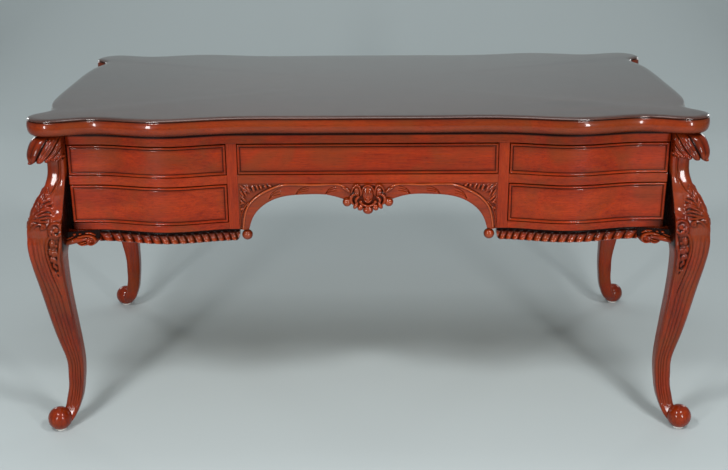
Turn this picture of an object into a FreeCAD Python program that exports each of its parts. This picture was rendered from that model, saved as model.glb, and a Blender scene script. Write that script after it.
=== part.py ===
import FreeCAD, Part
import math
import os

from FreeCAD import Vector

# Serpentine writing desk with five drawers, on four cabriole legs, in millimetres.
# The sitter is at -Y, +X is to the sitter's right, +Z is up and the floor is at zero.
# Pieces are drawn in the quarter where X and Y are positive, then mirrored to their places.

# Overall sizes
DESK_HEIGHT = 780.0
TOP_THICKNESS = 40.0
TOP_OVERHANG = 36.0
TOP_EDGE_ROUND = 14.0
CORNER_LOBE_RADIUS = 56.0

# Plan of the case
KNEEHOLE_WIDTH = 604.0
PARTITION_THICKNESS = 24.0
DRAWER_OPENING = 367.0
CASE_DEPTH = 704.0
RAIL_THICKNESS = 24.0
SIDE_PANEL_EDGE = 11.0

# Swell of the faces beyond the flat case
FRONT_SWELL = 26.0
SIDE_SWELL = 23.0
SIDE_SWELL_POWER = 4

# Heights of the case, from the top down
TOP_RAIL_HEIGHT = 30.0
UPPER_DRAWER_HEIGHT = 74.0
DIVIDER_HEIGHT = 22.0
LOWER_DRAWER_HEIGHT = 93.0
BOTTOM_RAIL_HEIGHT = 17.0

# Gadrooned moulding under the case
GADROON_HEIGHT = 30.0
GADROON_PROUD = 8.0
GADROON_ROUND = 12.0

# Cabriole legs
LEG_SIDE_OFFSET = 15.0
LEG_FRONT_OFFSET = 2.0
NECK_WIDTH = 37.0
KNEE_WIDTH = 81.0
KNEE_REACH = 30.0
FOOT_REACH = 41.0
BALL_RADIUS = 29.0
GLIDE_RADIUS = 13.0
GLIDE_THICKNESS = 4.0

# Square stump of the leg, which the rails and the side panel are joined to
STUMP_WIDTH = 23.0
STUMP_DEPTH = 28.0
STUMP_SETBACK = 6.0

# Leaf capital around the neck of each leg
CAPITAL_REACH = 66.0
CAPITAL_WIDTH = 84.0
CAPITAL_HEIGHT = 60.0

# Scrolled brackets between knee and case
BRACKET_LENGTH = 87.0
BRACKET_DEPTH = 44.0
BRACKET_PROUD = 34.0
BRACKET_DROP = 46.0
BRACKET_SCROLL_RADIUS = 14.0

# Arched apron and its cartouche
APRON_THICKNESS = 22.0
APRON_DROP = 119.0
APRON_BALL_RADIUS = 13.0
CARTOUCHE_WIDTH = 110.0
CARTOUCHE_HEIGHT = 72.0
CARTOUCHE_THICKNESS = 14.0

# Drawers
DRAWER_GAP = 1.5
DRAWER_BACK_ROOM = 86.0
DRAWER_WALL = 12.0
DRAWER_BOTTOM_THICKNESS = 6.0
DRAWER_BOTTOM_LIFT = 8.0
GROOVE_DEPTH = 6.0
SIDE_CLEARANCE = 2.0
SIDE_DROP = 8.0
BEAD_WIDTH = 5.0
BEAD_PROUD = 3.0

# Runners, kickers and stops that guide the drawers
RUNNER_WIDTH = 20.0
RUNNER_HEIGHT = 16.0
RUNNING_CLEARANCE = 0.3
KICKER_CLEARANCE = 2.0
STOP_LENGTH = 24.0
STOP_HEIGHT = 16.0

# Screws that hold the top down through the kickers
SCREW_RADIUS = 2.3
SCREW_HEAD_RADIUS = 4.4
SCREW_HEAD_HEIGHT = 3.0
SCREW_GRIP = 18.0
SCREW_RECESS = 12.0
SCREW_CLEARANCE = 0.2
SCREW_SPACING = 400.0

# Fitting values shared by all pieces
GLUE_GAP = 0.2
DRAWER_PATH_GAP = 1.5
CUT_OVERRUN = 10.0
FACE_POINTS = 17
QUARTER_TURN = 90

# Levels worked out from the sizes above
top_underside = DESK_HEIGHT - TOP_THICKNESS
upper_ceiling = top_underside - TOP_RAIL_HEIGHT
upper_floor = upper_ceiling - UPPER_DRAWER_HEIGHT
lower_ceiling = upper_floor - DIVIDER_HEIGHT
lower_floor = lower_ceiling - LOWER_DRAWER_HEIGHT
case_underside = lower_floor - BOTTOM_RAIL_HEIGHT

# Planes worked out from the sizes above
kneehole_half = KNEEHOLE_WIDTH / 2
partition_outside = kneehole_half + PARTITION_THICKNESS
opening_end = partition_outside + DRAWER_OPENING
side_plane = opening_end + SIDE_PANEL_EDGE
case_half = CASE_DEPTH / 2
rail_back = case_half - RAIL_THICKNESS
neck_x = side_plane + LEG_SIDE_OFFSET
neck_y = case_half + LEG_FRONT_OFFSET
foot_x = neck_x + FOOT_REACH
foot_y = neck_y + FOOT_REACH
stump_face = case_half - STUMP_SETBACK
stump_back = stump_face - STUMP_DEPTH
bracket_end = neck_x - BRACKET_LENGTH
swell_width = bracket_end - kneehole_half
drawer_length = rail_back * 2 - DRAWER_BACK_ROOM

MIRROR_X = Vector(1, 0, 0)
MIRROR_Y = Vector(0, 1, 0)
CENTRE = Vector(0, 0, 0)
UP = Vector(0, 0, 1)
arc_shares = (0, 0.5, 1)

os.makedirs("parts", exist_ok=True)


def mix(first, second, share):
    """The value that lies the given share of the way from first to second."""
    return first + (second - first) * share


def save(node, *solids):
    """Write the solids of one node to its own file."""
    shape = solids[0] if len(solids) == 1 else Part.makeCompound(list(solids))
    shape.exportStep("parts/" + node + ".step")


def as_drawn(shape):
    return shape


def to_left(shape):
    return shape.mirror(CENTRE, MIRROR_X)


def to_front(shape):
    return shape.mirror(CENTRE, MIRROR_Y)


SIDES = (("right", as_drawn), ("left", to_left))
ROWS = (("rear", as_drawn), ("front", to_front))


def block(x_low, x_high, y_low, y_high, z_low, z_high):
    """A square-edged board between two corners."""
    return Part.makeBox(x_high - x_low, y_high - y_low, z_high - z_low, Vector(x_low, y_low, z_low))


def raised(edges, height):
    """The solid that stands on a closed outline of edges."""
    return Part.Face(Part.Wire(edges)).extrude(UP * height)


def smooth_edge(points, closed=False):
    """A smooth curve through the points."""
    curve = Part.BSplineCurve()
    curve.interpolate(Points=points, PeriodicFlag=closed)
    return curve.toShape()


def face_reach(x):
    """Distance of the serpentine face from the middle of the desk: flat, with one swell each side."""
    turn = (abs(x) - kneehole_half) / swell_width
    if turn <= 0 or turn >= 1:
        return case_half
    return case_half + FRONT_SWELL * math.sin(math.pi * turn) ** 2


def face_edge(x_low, x_high, z, proud):
    """The line of the serpentine face between two places, standing proud by the given amount."""
    if max(abs(x_low), abs(x_high)) <= kneehole_half:
        reach = case_half + proud
        return Part.makeLine(Vector(x_low, reach, z), Vector(x_high, reach, z))
    steps = [step / (FACE_POINTS - 1) for step in range(FACE_POINTS)]
    stations = [mix(x_low, x_high, step) for step in steps]
    return smooth_edge([Vector(x, face_reach(x) + proud, z) for x in stations])


def faced_board(x_low, x_high, flat_y, z_low, z_high, proud=0):
    """A board with one flat face at flat_y and the serpentine face on its other side."""
    face = face_edge(x_low, x_high, z_low, proud)
    start = Vector(x_low, flat_y, z_low)
    end = Vector(x_high, flat_y, z_low)
    first = face.valueAt(face.FirstParameter)
    last = face.valueAt(face.LastParameter)
    edges = [face, Part.makeLine(last, end), Part.makeLine(end, start), Part.makeLine(start, first)]
    return raised(edges, z_high - z_low)


def beaded_board(x_low, x_high, z_low, z_high):
    """A drawer front: a serpentine board with a raised bead around its edge."""
    board = faced_board(x_low, x_high, rail_back, z_low, z_high, BEAD_PROUD)
    ahead = case_half + FRONT_SWELL + BEAD_PROUD + CUT_OVERRUN
    field = faced_board(
        x_low + BEAD_WIDTH, x_high - BEAD_WIDTH, ahead, z_low + BEAD_WIDTH, z_high - BEAD_WIDTH)
    return board.cut(field)


# Desk top: one board with a serpentine outline, a round lobe over each leg and a rounded edge
LOBE_ANGLES = (105, 75, 45, 15, -12)
swell_shares = (0, 0.25, 0.5, 0.75, 1)
side_outline_shares = ((0.98, 0), (0.88, 0.2), (0.72, 0.7), (0.5, 0.95))


def top_outline():
    """One quarter of the outline, from the middle of the back edge to the middle of the side."""
    edge_y = case_half + TOP_OVERHANG
    edge_x = side_plane + TOP_OVERHANG
    swell = [kneehole_half + swell_width * share for share in swell_shares]
    quarter = [Vector(kneehole_half / 2, edge_y, 0)]
    quarter += [Vector(x, face_reach(x) + TOP_OVERHANG, 0) for x in swell]
    for angle in LOBE_ANGLES:
        turn = math.radians(angle)
        x = neck_x + CORNER_LOBE_RADIUS * math.cos(turn)
        quarter.append(Vector(x, neck_y + CORNER_LOBE_RADIUS * math.sin(turn), 0))
    notch_y = neck_y - CORNER_LOBE_RADIUS
    for y_share, swell_share in side_outline_shares:
        quarter.append(Vector(edge_x + SIDE_SWELL * swell_share, notch_y * y_share, 0))
    return quarter, Vector(edge_x + SIDE_SWELL, 0, 0), Vector(0, edge_y, 0)


def desk_top():
    quarter, side_middle, back_middle = top_outline()
    right = quarter + [side_middle] + [Vector(p.x, -p.y, 0) for p in reversed(quarter)]
    left = [Vector(-p.x, p.y, 0) for p in reversed(right)]
    ring = [back_middle] + right + [Vector(0, -back_middle.y, 0)] + left
    slab = raised([smooth_edge(ring, closed=True)], TOP_THICKNESS)
    slab.translate(UP * top_underside)
    rims = [edge for edge in slab.Edges if edge.BoundBox.ZLength < TOP_THICKNESS / 2]
    return slab.makeFillet(TOP_EDGE_ROUND, rims)


# Screws: each stands in a recess of a kicker and grips the top
def screw_places():
    """Middle of each kicker's width, with a screw towards each end."""
    half = RUNNER_WIDTH / 2
    rows = (kneehole_half - half, partition_outside + half, opening_end - half)
    reach = SCREW_SPACING / 2
    return [(x * side, y) for x in rows for side in (1, -1) for y in (reach, -reach)]


kicker_underside = upper_ceiling - SIDE_DROP + KICKER_CLEARANCE
screw_seat = kicker_underside + SCREW_RECESS


def upright(radius, x, y, z_low, z_high):
    """A round bar or hole that stands upright."""
    return Part.makeCylinder(radius, z_high - z_low, Vector(x, y, z_low))


top = desk_top()
kickers = []
for x_low in (kneehole_half - RUNNER_WIDTH, partition_outside, opening_end - RUNNER_WIDTH):
    x_high = x_low + RUNNER_WIDTH
    kicker = block(x_low, x_high, -rail_back, rail_back, kicker_underside, top_underside)
    kickers += [kicker, to_left(kicker)]
screws = []
screw_end = top_underside + SCREW_GRIP
for x, y in screw_places():
    head = upright(SCREW_HEAD_RADIUS, x, y, screw_seat - SCREW_HEAD_HEIGHT, screw_seat)
    shank = upright(SCREW_RADIUS, x, y, screw_seat, screw_end)
    screws.append(head.fuse(shank).removeSplitter())
    hole = upright(SCREW_RADIUS + SCREW_CLEARANCE, x, y, kicker_underside, screw_end + SCREW_CLEARANCE)
    recess = upright(SCREW_HEAD_RADIUS + SCREW_CLEARANCE, x, y, kicker_underside, screw_seat)
    top = top.cut(hole)
    kickers = [kicker.cut(hole.fuse(recess)) for kicker in kickers]
save("desk_top", top)
save("top_screws", *screws)
save("drawer_kickers", *kickers)


# Legs: a cabriole shaft on the diagonal, with a straight neck, a stump and a ball foot.
# Each row of shares gives the height, the reach and the width from neck to knee. Heights of the
# neck run from the underside of the case to the top, and those of the shaft and foot up to the case.
corner_straight_share = 0.55
neck_shares = (
    (0.69, 0, 0), (0.504, 0.16, 0.1), (0.383, 0.45, 0.43),
    (0.251, 0.74, 0.77), (0.118, 0.93, 0.96), (0.022, 1, 1))
shaft_shares = (
    (0.937, 0.98, 0.96), (0.876, 0.94, 0.86), (0.764, 0.78, 0.65),
    (0.6, 0.48, 0.46), (0.428, 0.11, 0.23), (0.318, -0.08, 0.05))
foot_shares = (
    (0.257, -0.03, 0.03), (0.2, 0.03, -0.02), (0.139, 0.17, -0.01),
    (0.097, 0.33, -0.04), (0.056, 0.58, -0.02), (0.024, 0.8, -0.2))


def rounded_square(x, y, z, width):
    """A square outline with rounded corners, around a centre."""
    half = width / 2
    straight = half * corner_straight_share
    radius = half - straight
    arcs = []
    for number, (a, b) in enumerate(((1, 1), (-1, 1), (-1, -1), (1, -1))):
        middle = Vector(x + a * straight, y + b * straight, z)
        turns = [math.radians(QUARTER_TURN * (number + share)) for share in arc_shares]
        arcs.append([middle + Vector(math.cos(turn), math.sin(turn), 0) * radius for turn in turns])
    edges = []
    for arc, following in zip(arcs, arcs[1:] + arcs[:1]):
        edges.append(Part.Arc(*arc).toShape())
        edges.append(Part.makeLine(arc[-1], following[0]))
    return Part.Wire(edges)


def leg():
    neck_start = top_underside - CAPITAL_HEIGHT - GLUE_GAP
    sections = [rounded_square(neck_x, neck_y, neck_start, NECK_WIDTH)]
    for shares, reach, low, high in (
        (neck_shares, KNEE_REACH, case_underside, top_underside),
        (shaft_shares, KNEE_REACH, 0, case_underside),
        (foot_shares, FOOT_REACH, 0, case_underside),
    ):
        for height_share, reach_share, width_share in shares:
            out = reach * reach_share
            width = mix(NECK_WIDTH, KNEE_WIDTH, width_share)
            level = mix(low, high, height_share)
            sections.append(rounded_square(neck_x + out, neck_y + out, level, width))
    shaft = Part.makeLoft(sections, True, False)
    neck = Part.Face(sections[0]).extrude(UP * (top_underside - neck_start))
    stump_end = opening_end + STUMP_WIDTH
    stump = block(opening_end, stump_end, stump_back, stump_face, case_underside, top_underside)
    ball_flat = GLIDE_RADIUS + GLIDE_THICKNESS / 2
    ball_height = math.sqrt(BALL_RADIUS ** 2 - ball_flat ** 2) + GLIDE_THICKNESS
    ball = Part.makeSphere(BALL_RADIUS, Vector(foot_x, foot_y, ball_height))
    whole = neck.fuse([shaft, stump, ball])
    below = block(0, neck_x * 2, 0, neck_y * 2, GLIDE_THICKNESS - BALL_RADIUS, GLIDE_THICKNESS)
    return whole.cut(below).removeSplitter()


# Leaf capitals: each wraps the outer half of a neck, bows outwards and droops to a tip.
# Each pair of shares gives the way out from the root to the full reach, and the height.
leaf_root_share = 0.73
leaf_length_share = 1.03
leaf_outer_shares = ((0, 1), (0.4, 0.8), (0.88, 0.52), (1, 0.22), (0.92, 0))
leaf_under_shares = ((0.92, 0), (0.45, 0.12), (-0.6, 0.12))


def leaf_capital():
    low = top_underside - CAPITAL_HEIGHT
    root = NECK_WIDTH * leaf_root_share
    curves = []
    for shares in (leaf_outer_shares, leaf_under_shares):
        curves.append([
            Vector(mix(root, CAPITAL_REACH, out_share), 0, mix(low, top_underside, height_share))
            for out_share, height_share in shares])
    outer, under = curves
    apex = Vector(under[-1].x, 0, top_underside)
    closing = [Part.makeLine(under[-1], apex), Part.makeLine(apex, outer[0])]
    profile = Part.Face(Part.Wire([smooth_edge(outer), smooth_edge(under)] + closing))
    profile.translate(Vector(0, -CAPITAL_WIDTH / 2, 0))
    leaf = profile.extrude(Vector(0, CAPITAL_WIDTH, 0))
    plan = Part.Ellipse(CENTRE, CAPITAL_REACH * leaf_length_share, CAPITAL_WIDTH / 2)
    leaf = leaf.common(raised([plan.toShape()], DESK_HEIGHT))
    leaf.rotate(CENTRE, UP, QUARTER_TURN / 2)
    leaf.translate(Vector(neck_x, neck_y, 0))
    section = rounded_square(neck_x, neck_y, low - CUT_OVERRUN, NECK_WIDTH + GLUE_GAP * 2)
    leaf = leaf.cut(Part.Face(section).extrude(UP * (CAPITAL_HEIGHT + CUT_OVERRUN * 2)))
    path = opening_end + DRAWER_PATH_GAP
    return leaf.common(block(path, path + DESK_HEIGHT, 0, DESK_HEIGHT, 0, DESK_HEIGHT))


# Knee brackets: scrolled blocks under the case, on two sides of each knee
throat_share = 0.5
throat_drop_share = 0.2


def knee_bracket(knee):
    """One bracket, from the knee towards the middle of the desk, tapering to the moulding's face."""
    radius = BRACKET_SCROLL_RADIUS
    scroll_x = bracket_end + radius
    high_y = neck_y + BRACKET_PROUD
    low_y = high_y - BRACKET_DEPTH
    corner = Vector(neck_x, low_y, case_underside)
    crown = Vector(scroll_x, low_y, case_underside)
    nose = Vector(bracket_end, low_y, case_underside - radius)
    chin = Vector(scroll_x, low_y, case_underside - radius * 2)
    heel = Vector(neck_x, low_y, case_underside - BRACKET_DROP)
    throat = Vector(mix(scroll_x, neck_x, throat_share), low_y, mix(chin.z, heel.z, throat_drop_share))
    edges = [
        Part.makeLine(corner, crown),
        Part.Arc(crown, nose, chin).toShape(),
        Part.Arc(chin, throat, heel).toShape(),
        Part.makeLine(heel, corner),
    ]
    scroll = Part.Face(Part.Wire(edges)).extrude(Vector(0, BRACKET_DEPTH, 0))
    plan = [(bracket_end, low_y), (neck_x, low_y), (neck_x, high_y), (bracket_end, case_half + GADROON_PROUD)]
    points = [Vector(x, y, heel.z) for x, y in plan]
    wedge = raised([Part.makeLine(a, b) for a, b in zip(points, points[1:] + points[:1])], BRACKET_DROP)
    return scroll.common(wedge).cut(knee)


def across_diagonal(shape):
    """The same piece on the other side of the leg's diagonal plane."""
    return shape.mirror(Vector(neck_x, neck_y, 0), Vector(1, -1, 0))


leg_solid = leg()
capital = leaf_capital()
front_bracket = knee_bracket(leg_solid)
side_bracket = across_diagonal(knee_bracket(across_diagonal(leg_solid)))
glide = upright(GLIDE_RADIUS, foot_x, foot_y, 0, GLIDE_THICKNESS)
glides = []
for row, turn_row in ROWS:
    for side, turn_side in SIDES:
        place = row + "_" + side
        save(place + "_leg", turn_side(turn_row(leg_solid)))
        save(place + "_capital", turn_side(turn_row(capital)))
        brackets = [turn_side(turn_row(bracket)) for bracket in (front_bracket, side_bracket)]
        save(place + "_knee_brackets", *brackets)
        glides.append(turn_side(turn_row(glide)))
save("foot_glides", *glides)


# Front of the case: rails between the stumps, with the serpentine face
front_rail = to_front(faced_board(-opening_end, opening_end, rail_back, upper_ceiling, top_underside))
save("front_top_rail", front_rail)
save("centre_rail", to_front(
    faced_board(-kneehole_half, kneehole_half, rail_back, lower_ceiling, upper_floor)))
divider = to_front(faced_board(partition_outside, opening_end, rail_back, lower_ceiling, upper_floor))
bottom_rail = to_front(faced_board(partition_outside, opening_end, rail_back, case_underside, lower_floor))
for side, turn_side in SIDES:
    save(side + "_divider_rail", turn_side(divider))
    save(side + "_bottom_rail", turn_side(bottom_rail))

# Partitions: the upright walls beside the kneehole, whose edges show as stiles
partition = block(kneehole_half, partition_outside, -case_half, case_half, case_underside, top_underside)
rail_notch = block(0, opening_end, -case_half - CUT_OVERRUN, -rail_back, upper_ceiling, DESK_HEIGHT)
partition = partition.cut(rail_notch)
save("right_partition", partition)
save("left_partition", to_left(partition))


# Side panels: flat inside, swelling outwards between the legs
def side_reach(y):
    """Distance of the side face from the middle of the desk: a broad swell that dies at the legs."""
    return side_plane + SIDE_SWELL * (1 - (abs(y) / stump_back) ** SIDE_SWELL_POWER)


def side_board(y_half, z_low, z_high, proud=0):
    steps = [step / (FACE_POINTS - 1) for step in range(FACE_POINTS)]
    stations = [mix(-y_half, y_half, step) for step in steps]
    points = [Vector(side_reach(y) + proud, y, z_low) for y in stations]
    inner = [Vector(opening_end, y_half, z_low), Vector(opening_end, -y_half, z_low)]
    corners = [points[-1]] + inner + [points[0]]
    lines = [Part.makeLine(a, b) for a, b in zip(corners, corners[1:])]
    return raised([smooth_edge(points)] + lines, z_high - z_low)


side_panel = side_board(stump_back, case_underside, top_underside)
save("right_side_panel", side_panel)
save("left_side_panel", to_left(side_panel))


# Back of the case: serpentine panels with raised beads that match the drawers
def bead_ring(x_low, x_high, z_low, z_high):
    """The bead of a false drawer, with the board behind it."""
    return beaded_board(x_low + DRAWER_GAP, x_high - DRAWER_GAP, z_low + DRAWER_GAP, z_high - DRAWER_GAP)


back_panel = faced_board(partition_outside, opening_end, rail_back, case_underside, top_underside)
for z_low, z_high in ((upper_floor, upper_ceiling), (lower_floor, lower_ceiling)):
    back_panel = back_panel.fuse(bead_ring(partition_outside, opening_end, z_low, z_high))
back_panel = back_panel.removeSplitter()
save("right_back_panel", back_panel)
save("left_back_panel", to_left(back_panel))
centre_back = faced_board(-kneehole_half, kneehole_half, rail_back, lower_ceiling, top_underside)
centre_back = centre_back.fuse(bead_ring(-kneehole_half, kneehole_half, upper_floor, upper_ceiling))
save("centre_back_panel", centre_back.removeSplitter())


# Gadrooned mouldings: half-round strips under the rails and panels
def half_round(board):
    """Round the two long outer edges of a strip."""
    long_edges = [e for e in board.Edges if e.Curve.TypeId == "Part::GeomBSplineCurve"]
    return board.makeFillet(GADROON_ROUND, long_edges)


gadroon_underside = case_underside - GADROON_HEIGHT
back_gadroon = half_round(faced_board(
    kneehole_half, bracket_end, rail_back, gadroon_underside, case_underside, GADROON_PROUD))
side_gadroon = half_round(side_board(
    neck_y - BRACKET_LENGTH, gadroon_underside, case_underside, GADROON_PROUD))
for side, turn_side in SIDES:
    save("rear_" + side + "_gadroon", turn_side(back_gadroon))
    save("front_" + side + "_gadroon", turn_side(to_front(back_gadroon)))
    save(side + "_side_gadroon", turn_side(side_gadroon))


# Aprons: arched boards under the centre rail, with a ball at each end and a shell in the middle.
# Each pair of shares gives the way out from the middle and the height, or the drop of the shell.
arch_shares = (
    (0.927, 0.02), (0.897, 0.38), (0.795, 0.61), (0.656, 0.735),
    (0.497, 0.77), (0.315, 0.76), (0.182, 0.65), (0, 0.52))
shield_shares = ((0, 0), (0.62, 0.04), (1, 0.34), (0.98, 0.68), (0.62, 0.84), (0, 1))


def mirrored_run(half_points):
    """Points of the right half, followed by the left half in reverse."""
    return half_points + [Vector(-p.x, p.y, p.z) for p in reversed(half_points) if p.x > 0]


def apron():
    back = case_half - APRON_THICKNESS
    foot = lower_ceiling - APRON_DROP
    arch = [Vector(kneehole_half * a, back, foot + APRON_DROP * b) for a, b in arch_shares]
    arch = mirrored_run(arch)
    corners = [
        arch[-1], Vector(-kneehole_half, back, foot), Vector(-kneehole_half, back, lower_ceiling),
        Vector(kneehole_half, back, lower_ceiling), Vector(kneehole_half, back, foot), arch[0]]
    lines = [Part.makeLine(a, b) for a, b in zip(corners, corners[1:])]
    board = Part.Face(Part.Wire([smooth_edge(arch)] + lines)).extrude(Vector(0, APRON_THICKNESS, 0))
    ball_x = kneehole_half - APRON_BALL_RADIUS - GLUE_GAP
    ball = Part.makeSphere(APRON_BALL_RADIUS, Vector(ball_x, case_half - APRON_THICKNESS / 2, foot))
    return board.fuse([ball, to_left(ball)]).removeSplitter()


def cartouche():
    crown = lower_ceiling - GLUE_GAP
    half = CARTOUCHE_WIDTH / 2
    shield = [Vector(half * a, case_half, crown - CARTOUCHE_HEIGHT * b) for a, b in shield_shares]
    outline = smooth_edge(mirrored_run(shield), closed=True)
    return Part.Face(Part.Wire(outline)).extrude(Vector(0, CARTOUCHE_THICKNESS, 0))


apron_board = apron()
shell = cartouche()
save("front_apron", to_front(apron_board))
save("front_cartouche", to_front(shell))
save("rear_apron", apron_board.fuse(shell).removeSplitter())

# Runners under the drawers and stops behind them
runners = []
stops = []
drawer_rear = drawer_length - rail_back
stop_start = drawer_rear + RUNNING_CLEARANCE
for x_low, level in (
    (kneehole_half - RUNNER_WIDTH, upper_floor),
    (partition_outside, upper_floor),
    (partition_outside, lower_floor),
    (opening_end - RUNNER_WIDTH, upper_floor),
    (opening_end - RUNNER_WIDTH, lower_floor),
):
    x_high = x_low + RUNNER_WIDTH
    runner = block(x_low, x_high, -rail_back, rail_back, level - RUNNER_HEIGHT, level)
    stop = block(x_low, x_high, stop_start, stop_start + STOP_LENGTH, level, level + STOP_HEIGHT)
    runners += [runner, to_left(runner)]
    stops += [stop, to_left(stop)]
save("drawer_runners", *runners)
save("drawer_stops", *stops)


# Drawers: a beaded serpentine front on a plain box with a grooved-in bottom
def drawer(name, x_low, x_high, z_low, z_high, turn):
    front = beaded_board(x_low + DRAWER_GAP, x_high - DRAWER_GAP, z_low + DRAWER_GAP, z_high - DRAWER_GAP)
    left_side = x_low + SIDE_CLEARANCE
    right_side = x_high - SIDE_CLEARANCE
    side_floor = z_low + RUNNING_CLEARANCE
    side_ceiling = z_high - SIDE_DROP
    rear = rail_back - drawer_length
    panel_low = side_floor + DRAWER_BOTTOM_LIFT
    panel_high = panel_low + DRAWER_BOTTOM_THICKNESS
    panel_left = left_side + DRAWER_WALL - GROOVE_DEPTH
    panel_right = right_side - DRAWER_WALL + GROOVE_DEPTH
    panel = block(panel_left, panel_right, rear, rail_back + GROOVE_DEPTH, panel_low, panel_high)
    left_wall = block(left_side, left_side + DRAWER_WALL, rear, rail_back, side_floor, side_ceiling)
    right_wall = block(right_side - DRAWER_WALL, right_side, rear, rail_back, side_floor, side_ceiling)
    inner_left = left_side + DRAWER_WALL
    inner_right = right_side - DRAWER_WALL
    back = block(inner_left, inner_right, rear, rear + DRAWER_WALL, panel_high, side_ceiling)
    save(name + "_drawer_front", turn(to_front(front.cut(panel))))
    walls = [turn(to_front(wall.cut(panel))) for wall in (left_wall, right_wall)]
    save(name + "_drawer_sides", *walls)
    save(name + "_drawer_back", turn(to_front(back)))
    save(name + "_drawer_bottom", turn(to_front(panel)))


drawer("centre", -kneehole_half, kneehole_half, upper_floor, upper_ceiling, as_drawn)
for side, turn_side in SIDES:
    drawer(side + "_upper", partition_outside, opening_end, upper_floor, upper_ceiling, turn_side)
    drawer(side + "_lower", partition_outside, opening_end, lower_floor, lower_ceiling, turn_side)
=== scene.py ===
import math

import bmesh
import bpy
import numpy as np
from mathutils import Matrix, Vector


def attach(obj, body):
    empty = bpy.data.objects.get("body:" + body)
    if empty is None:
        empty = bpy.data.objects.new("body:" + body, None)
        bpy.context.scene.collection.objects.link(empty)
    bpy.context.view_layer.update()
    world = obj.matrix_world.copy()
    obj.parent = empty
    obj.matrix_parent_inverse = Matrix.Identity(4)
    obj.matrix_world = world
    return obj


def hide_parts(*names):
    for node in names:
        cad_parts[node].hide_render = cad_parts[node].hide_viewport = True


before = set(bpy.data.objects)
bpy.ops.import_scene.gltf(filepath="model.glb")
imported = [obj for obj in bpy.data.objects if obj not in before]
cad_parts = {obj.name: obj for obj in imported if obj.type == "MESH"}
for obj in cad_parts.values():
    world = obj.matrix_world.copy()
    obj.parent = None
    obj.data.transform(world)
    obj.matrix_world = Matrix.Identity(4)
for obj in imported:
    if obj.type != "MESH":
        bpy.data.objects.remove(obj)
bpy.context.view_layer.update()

# Legs
# Four cabriole legs of solid mahogany, bandsawn to an S, then carved on their two outer faces
# with a husk, scrolls and reeds, and ending in a turned ball. Pegged to the rails at the stump.
scene = bpy.context.scene
MM = 0.001
NECK_X, NECK_Y = 719.0, 354.0
LEG_STATIONS = np.array((
    # height, reach along the diagonal, width of the section
    (740, 0, 37), (680, 0, 37), (667, 0, 37), (623, 4.8, 41.4), (594.4, 13.5, 55.9),
    (563.2, 22.2, 70.9), (531.8, 27.9, 79.2), (509.2, 30, 81), (472.2, 29.4, 79.2),
    (441.5, 28.2, 74.8), (385, 23.4, 65.6), (302.4, 14.4, 57.2), (215.7, 3.3, 47.1),
    (160.3, -2.4, 39.2), (129.5, -1.2, 38.3), (100.8, 1.2, 36.1), (70.1, 7, 36.6),
    (48.9, 13.5, 35.2), (28.2, 23.8, 36.1), (12.1, 32.8, 28.2)))
LEG_ROWS, LEG_COLUMNS, BALL_ROWS, BALL_COLUMNS, STUMP_STEPS, STUMP_ROWS = 520, 168, 40, 64, 10, 40
BALL_RADIUS, BALL_CENTRE, BALL_FLAT_RADIUS = 29.0, (760.0, 395.0, 28.8), 15.0
STUMP_PLAN = np.array(((693, 318), (716, 318), (716, 346), (693, 346)), float)
STUMP_FOOT, STUMP_HEAD = 504.0, 740.0


def smooth_curve(knots, values, at):
    """Natural cubic spline through the values: slope and bend run on without a break."""
    knots, values, at = (np.asarray(each, float) for each in (knots, values, at))
    step = np.diff(knots)
    inner = np.arange(1, len(knots) - 1)
    bends, rise = np.eye(len(knots)), np.zeros(len(knots))
    bends[inner, inner - 1] = step[:-1]
    bends[inner, inner] = 2 * (step[:-1] + step[1:])
    bends[inner, inner + 1] = step[1:]
    rise[inner] = 6 * np.diff(np.diff(values) / step)
    bend = np.linalg.solve(bends, rise)
    low = np.clip(np.searchsorted(knots, at) - 1, 0, len(step) - 1)
    width = step[low]
    after = at - knots[low]
    before = knots[low + 1] - at
    line = (values[low] * before + values[low + 1] * after) / width
    bow = bend[low] * (before ** 3 / width - width * before)
    bow += bend[low + 1] * (after ** 3 / width - width * after)
    return line + bow / 6


def smooth_path(points, count):
    """A smooth curve through the points, read at evenly spaced places along its length."""
    points = np.asarray(points, float)
    run = np.concatenate(([0], np.cumsum(np.linalg.norm(np.diff(points, axis=0), axis=1))))
    at = np.linspace(0, run[-1], count)
    return np.stack([smooth_curve(run, points[:, axis], at) for axis in range(points.shape[1])], axis=-1)


def clamp(values):
    """Values held between 0 and 1."""
    return np.clip(values, 0, 1)


def dome(share):
    """The height of a half circle: 1 in the middle, at share 0, and 0 from its edge on, at share 1."""
    return np.sqrt(clamp(1 - share ** 2))


def away_from(across, up, path):
    """Distance of each place (across, up) from a path, and how far along the path its nearest point is."""
    starts = path[:-1]
    runs = np.diff(path, axis=0)
    lengths = (runs ** 2).sum(axis=1)
    offset_a = across[..., None] - starts[:, 0]
    offset_b = up[..., None] - starts[:, 1]
    share = clamp((offset_a * runs[:, 0] + offset_b * runs[:, 1]) / lengths)
    gap = np.hypot(offset_a - share * runs[:, 0], offset_b - share * runs[:, 1])
    nearest = gap.argmin(axis=-1)
    along = np.take_along_axis(share, nearest[..., None], -1)[..., 0] + nearest
    return gap.min(axis=-1), along / len(runs)


def strand(across, up, points, half_width, height, taper=0.0):
    """A rounded raised strand along a path: a half circle across, thinning to its ends by the taper."""
    path = smooth_path(points, 6 * len(points))
    gap, along = away_from(across, up, path)
    width = half_width * (1 - taper * np.abs(2 * along - 1) ** 2)
    return height * dome(gap / width) * width / half_width


def softened(values, rounds):
    """Each value mixed with its neighbours, over and over, which blurs a carved height."""
    for _ in range(rounds):
        padded = np.pad(values, 1, mode="edge")
        values = (padded[:-2, 1:-1] + padded[2:, 1:-1] + padded[1:-1, :-2] + padded[1:-1, 2:] + values) / 5
    return values


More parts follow.
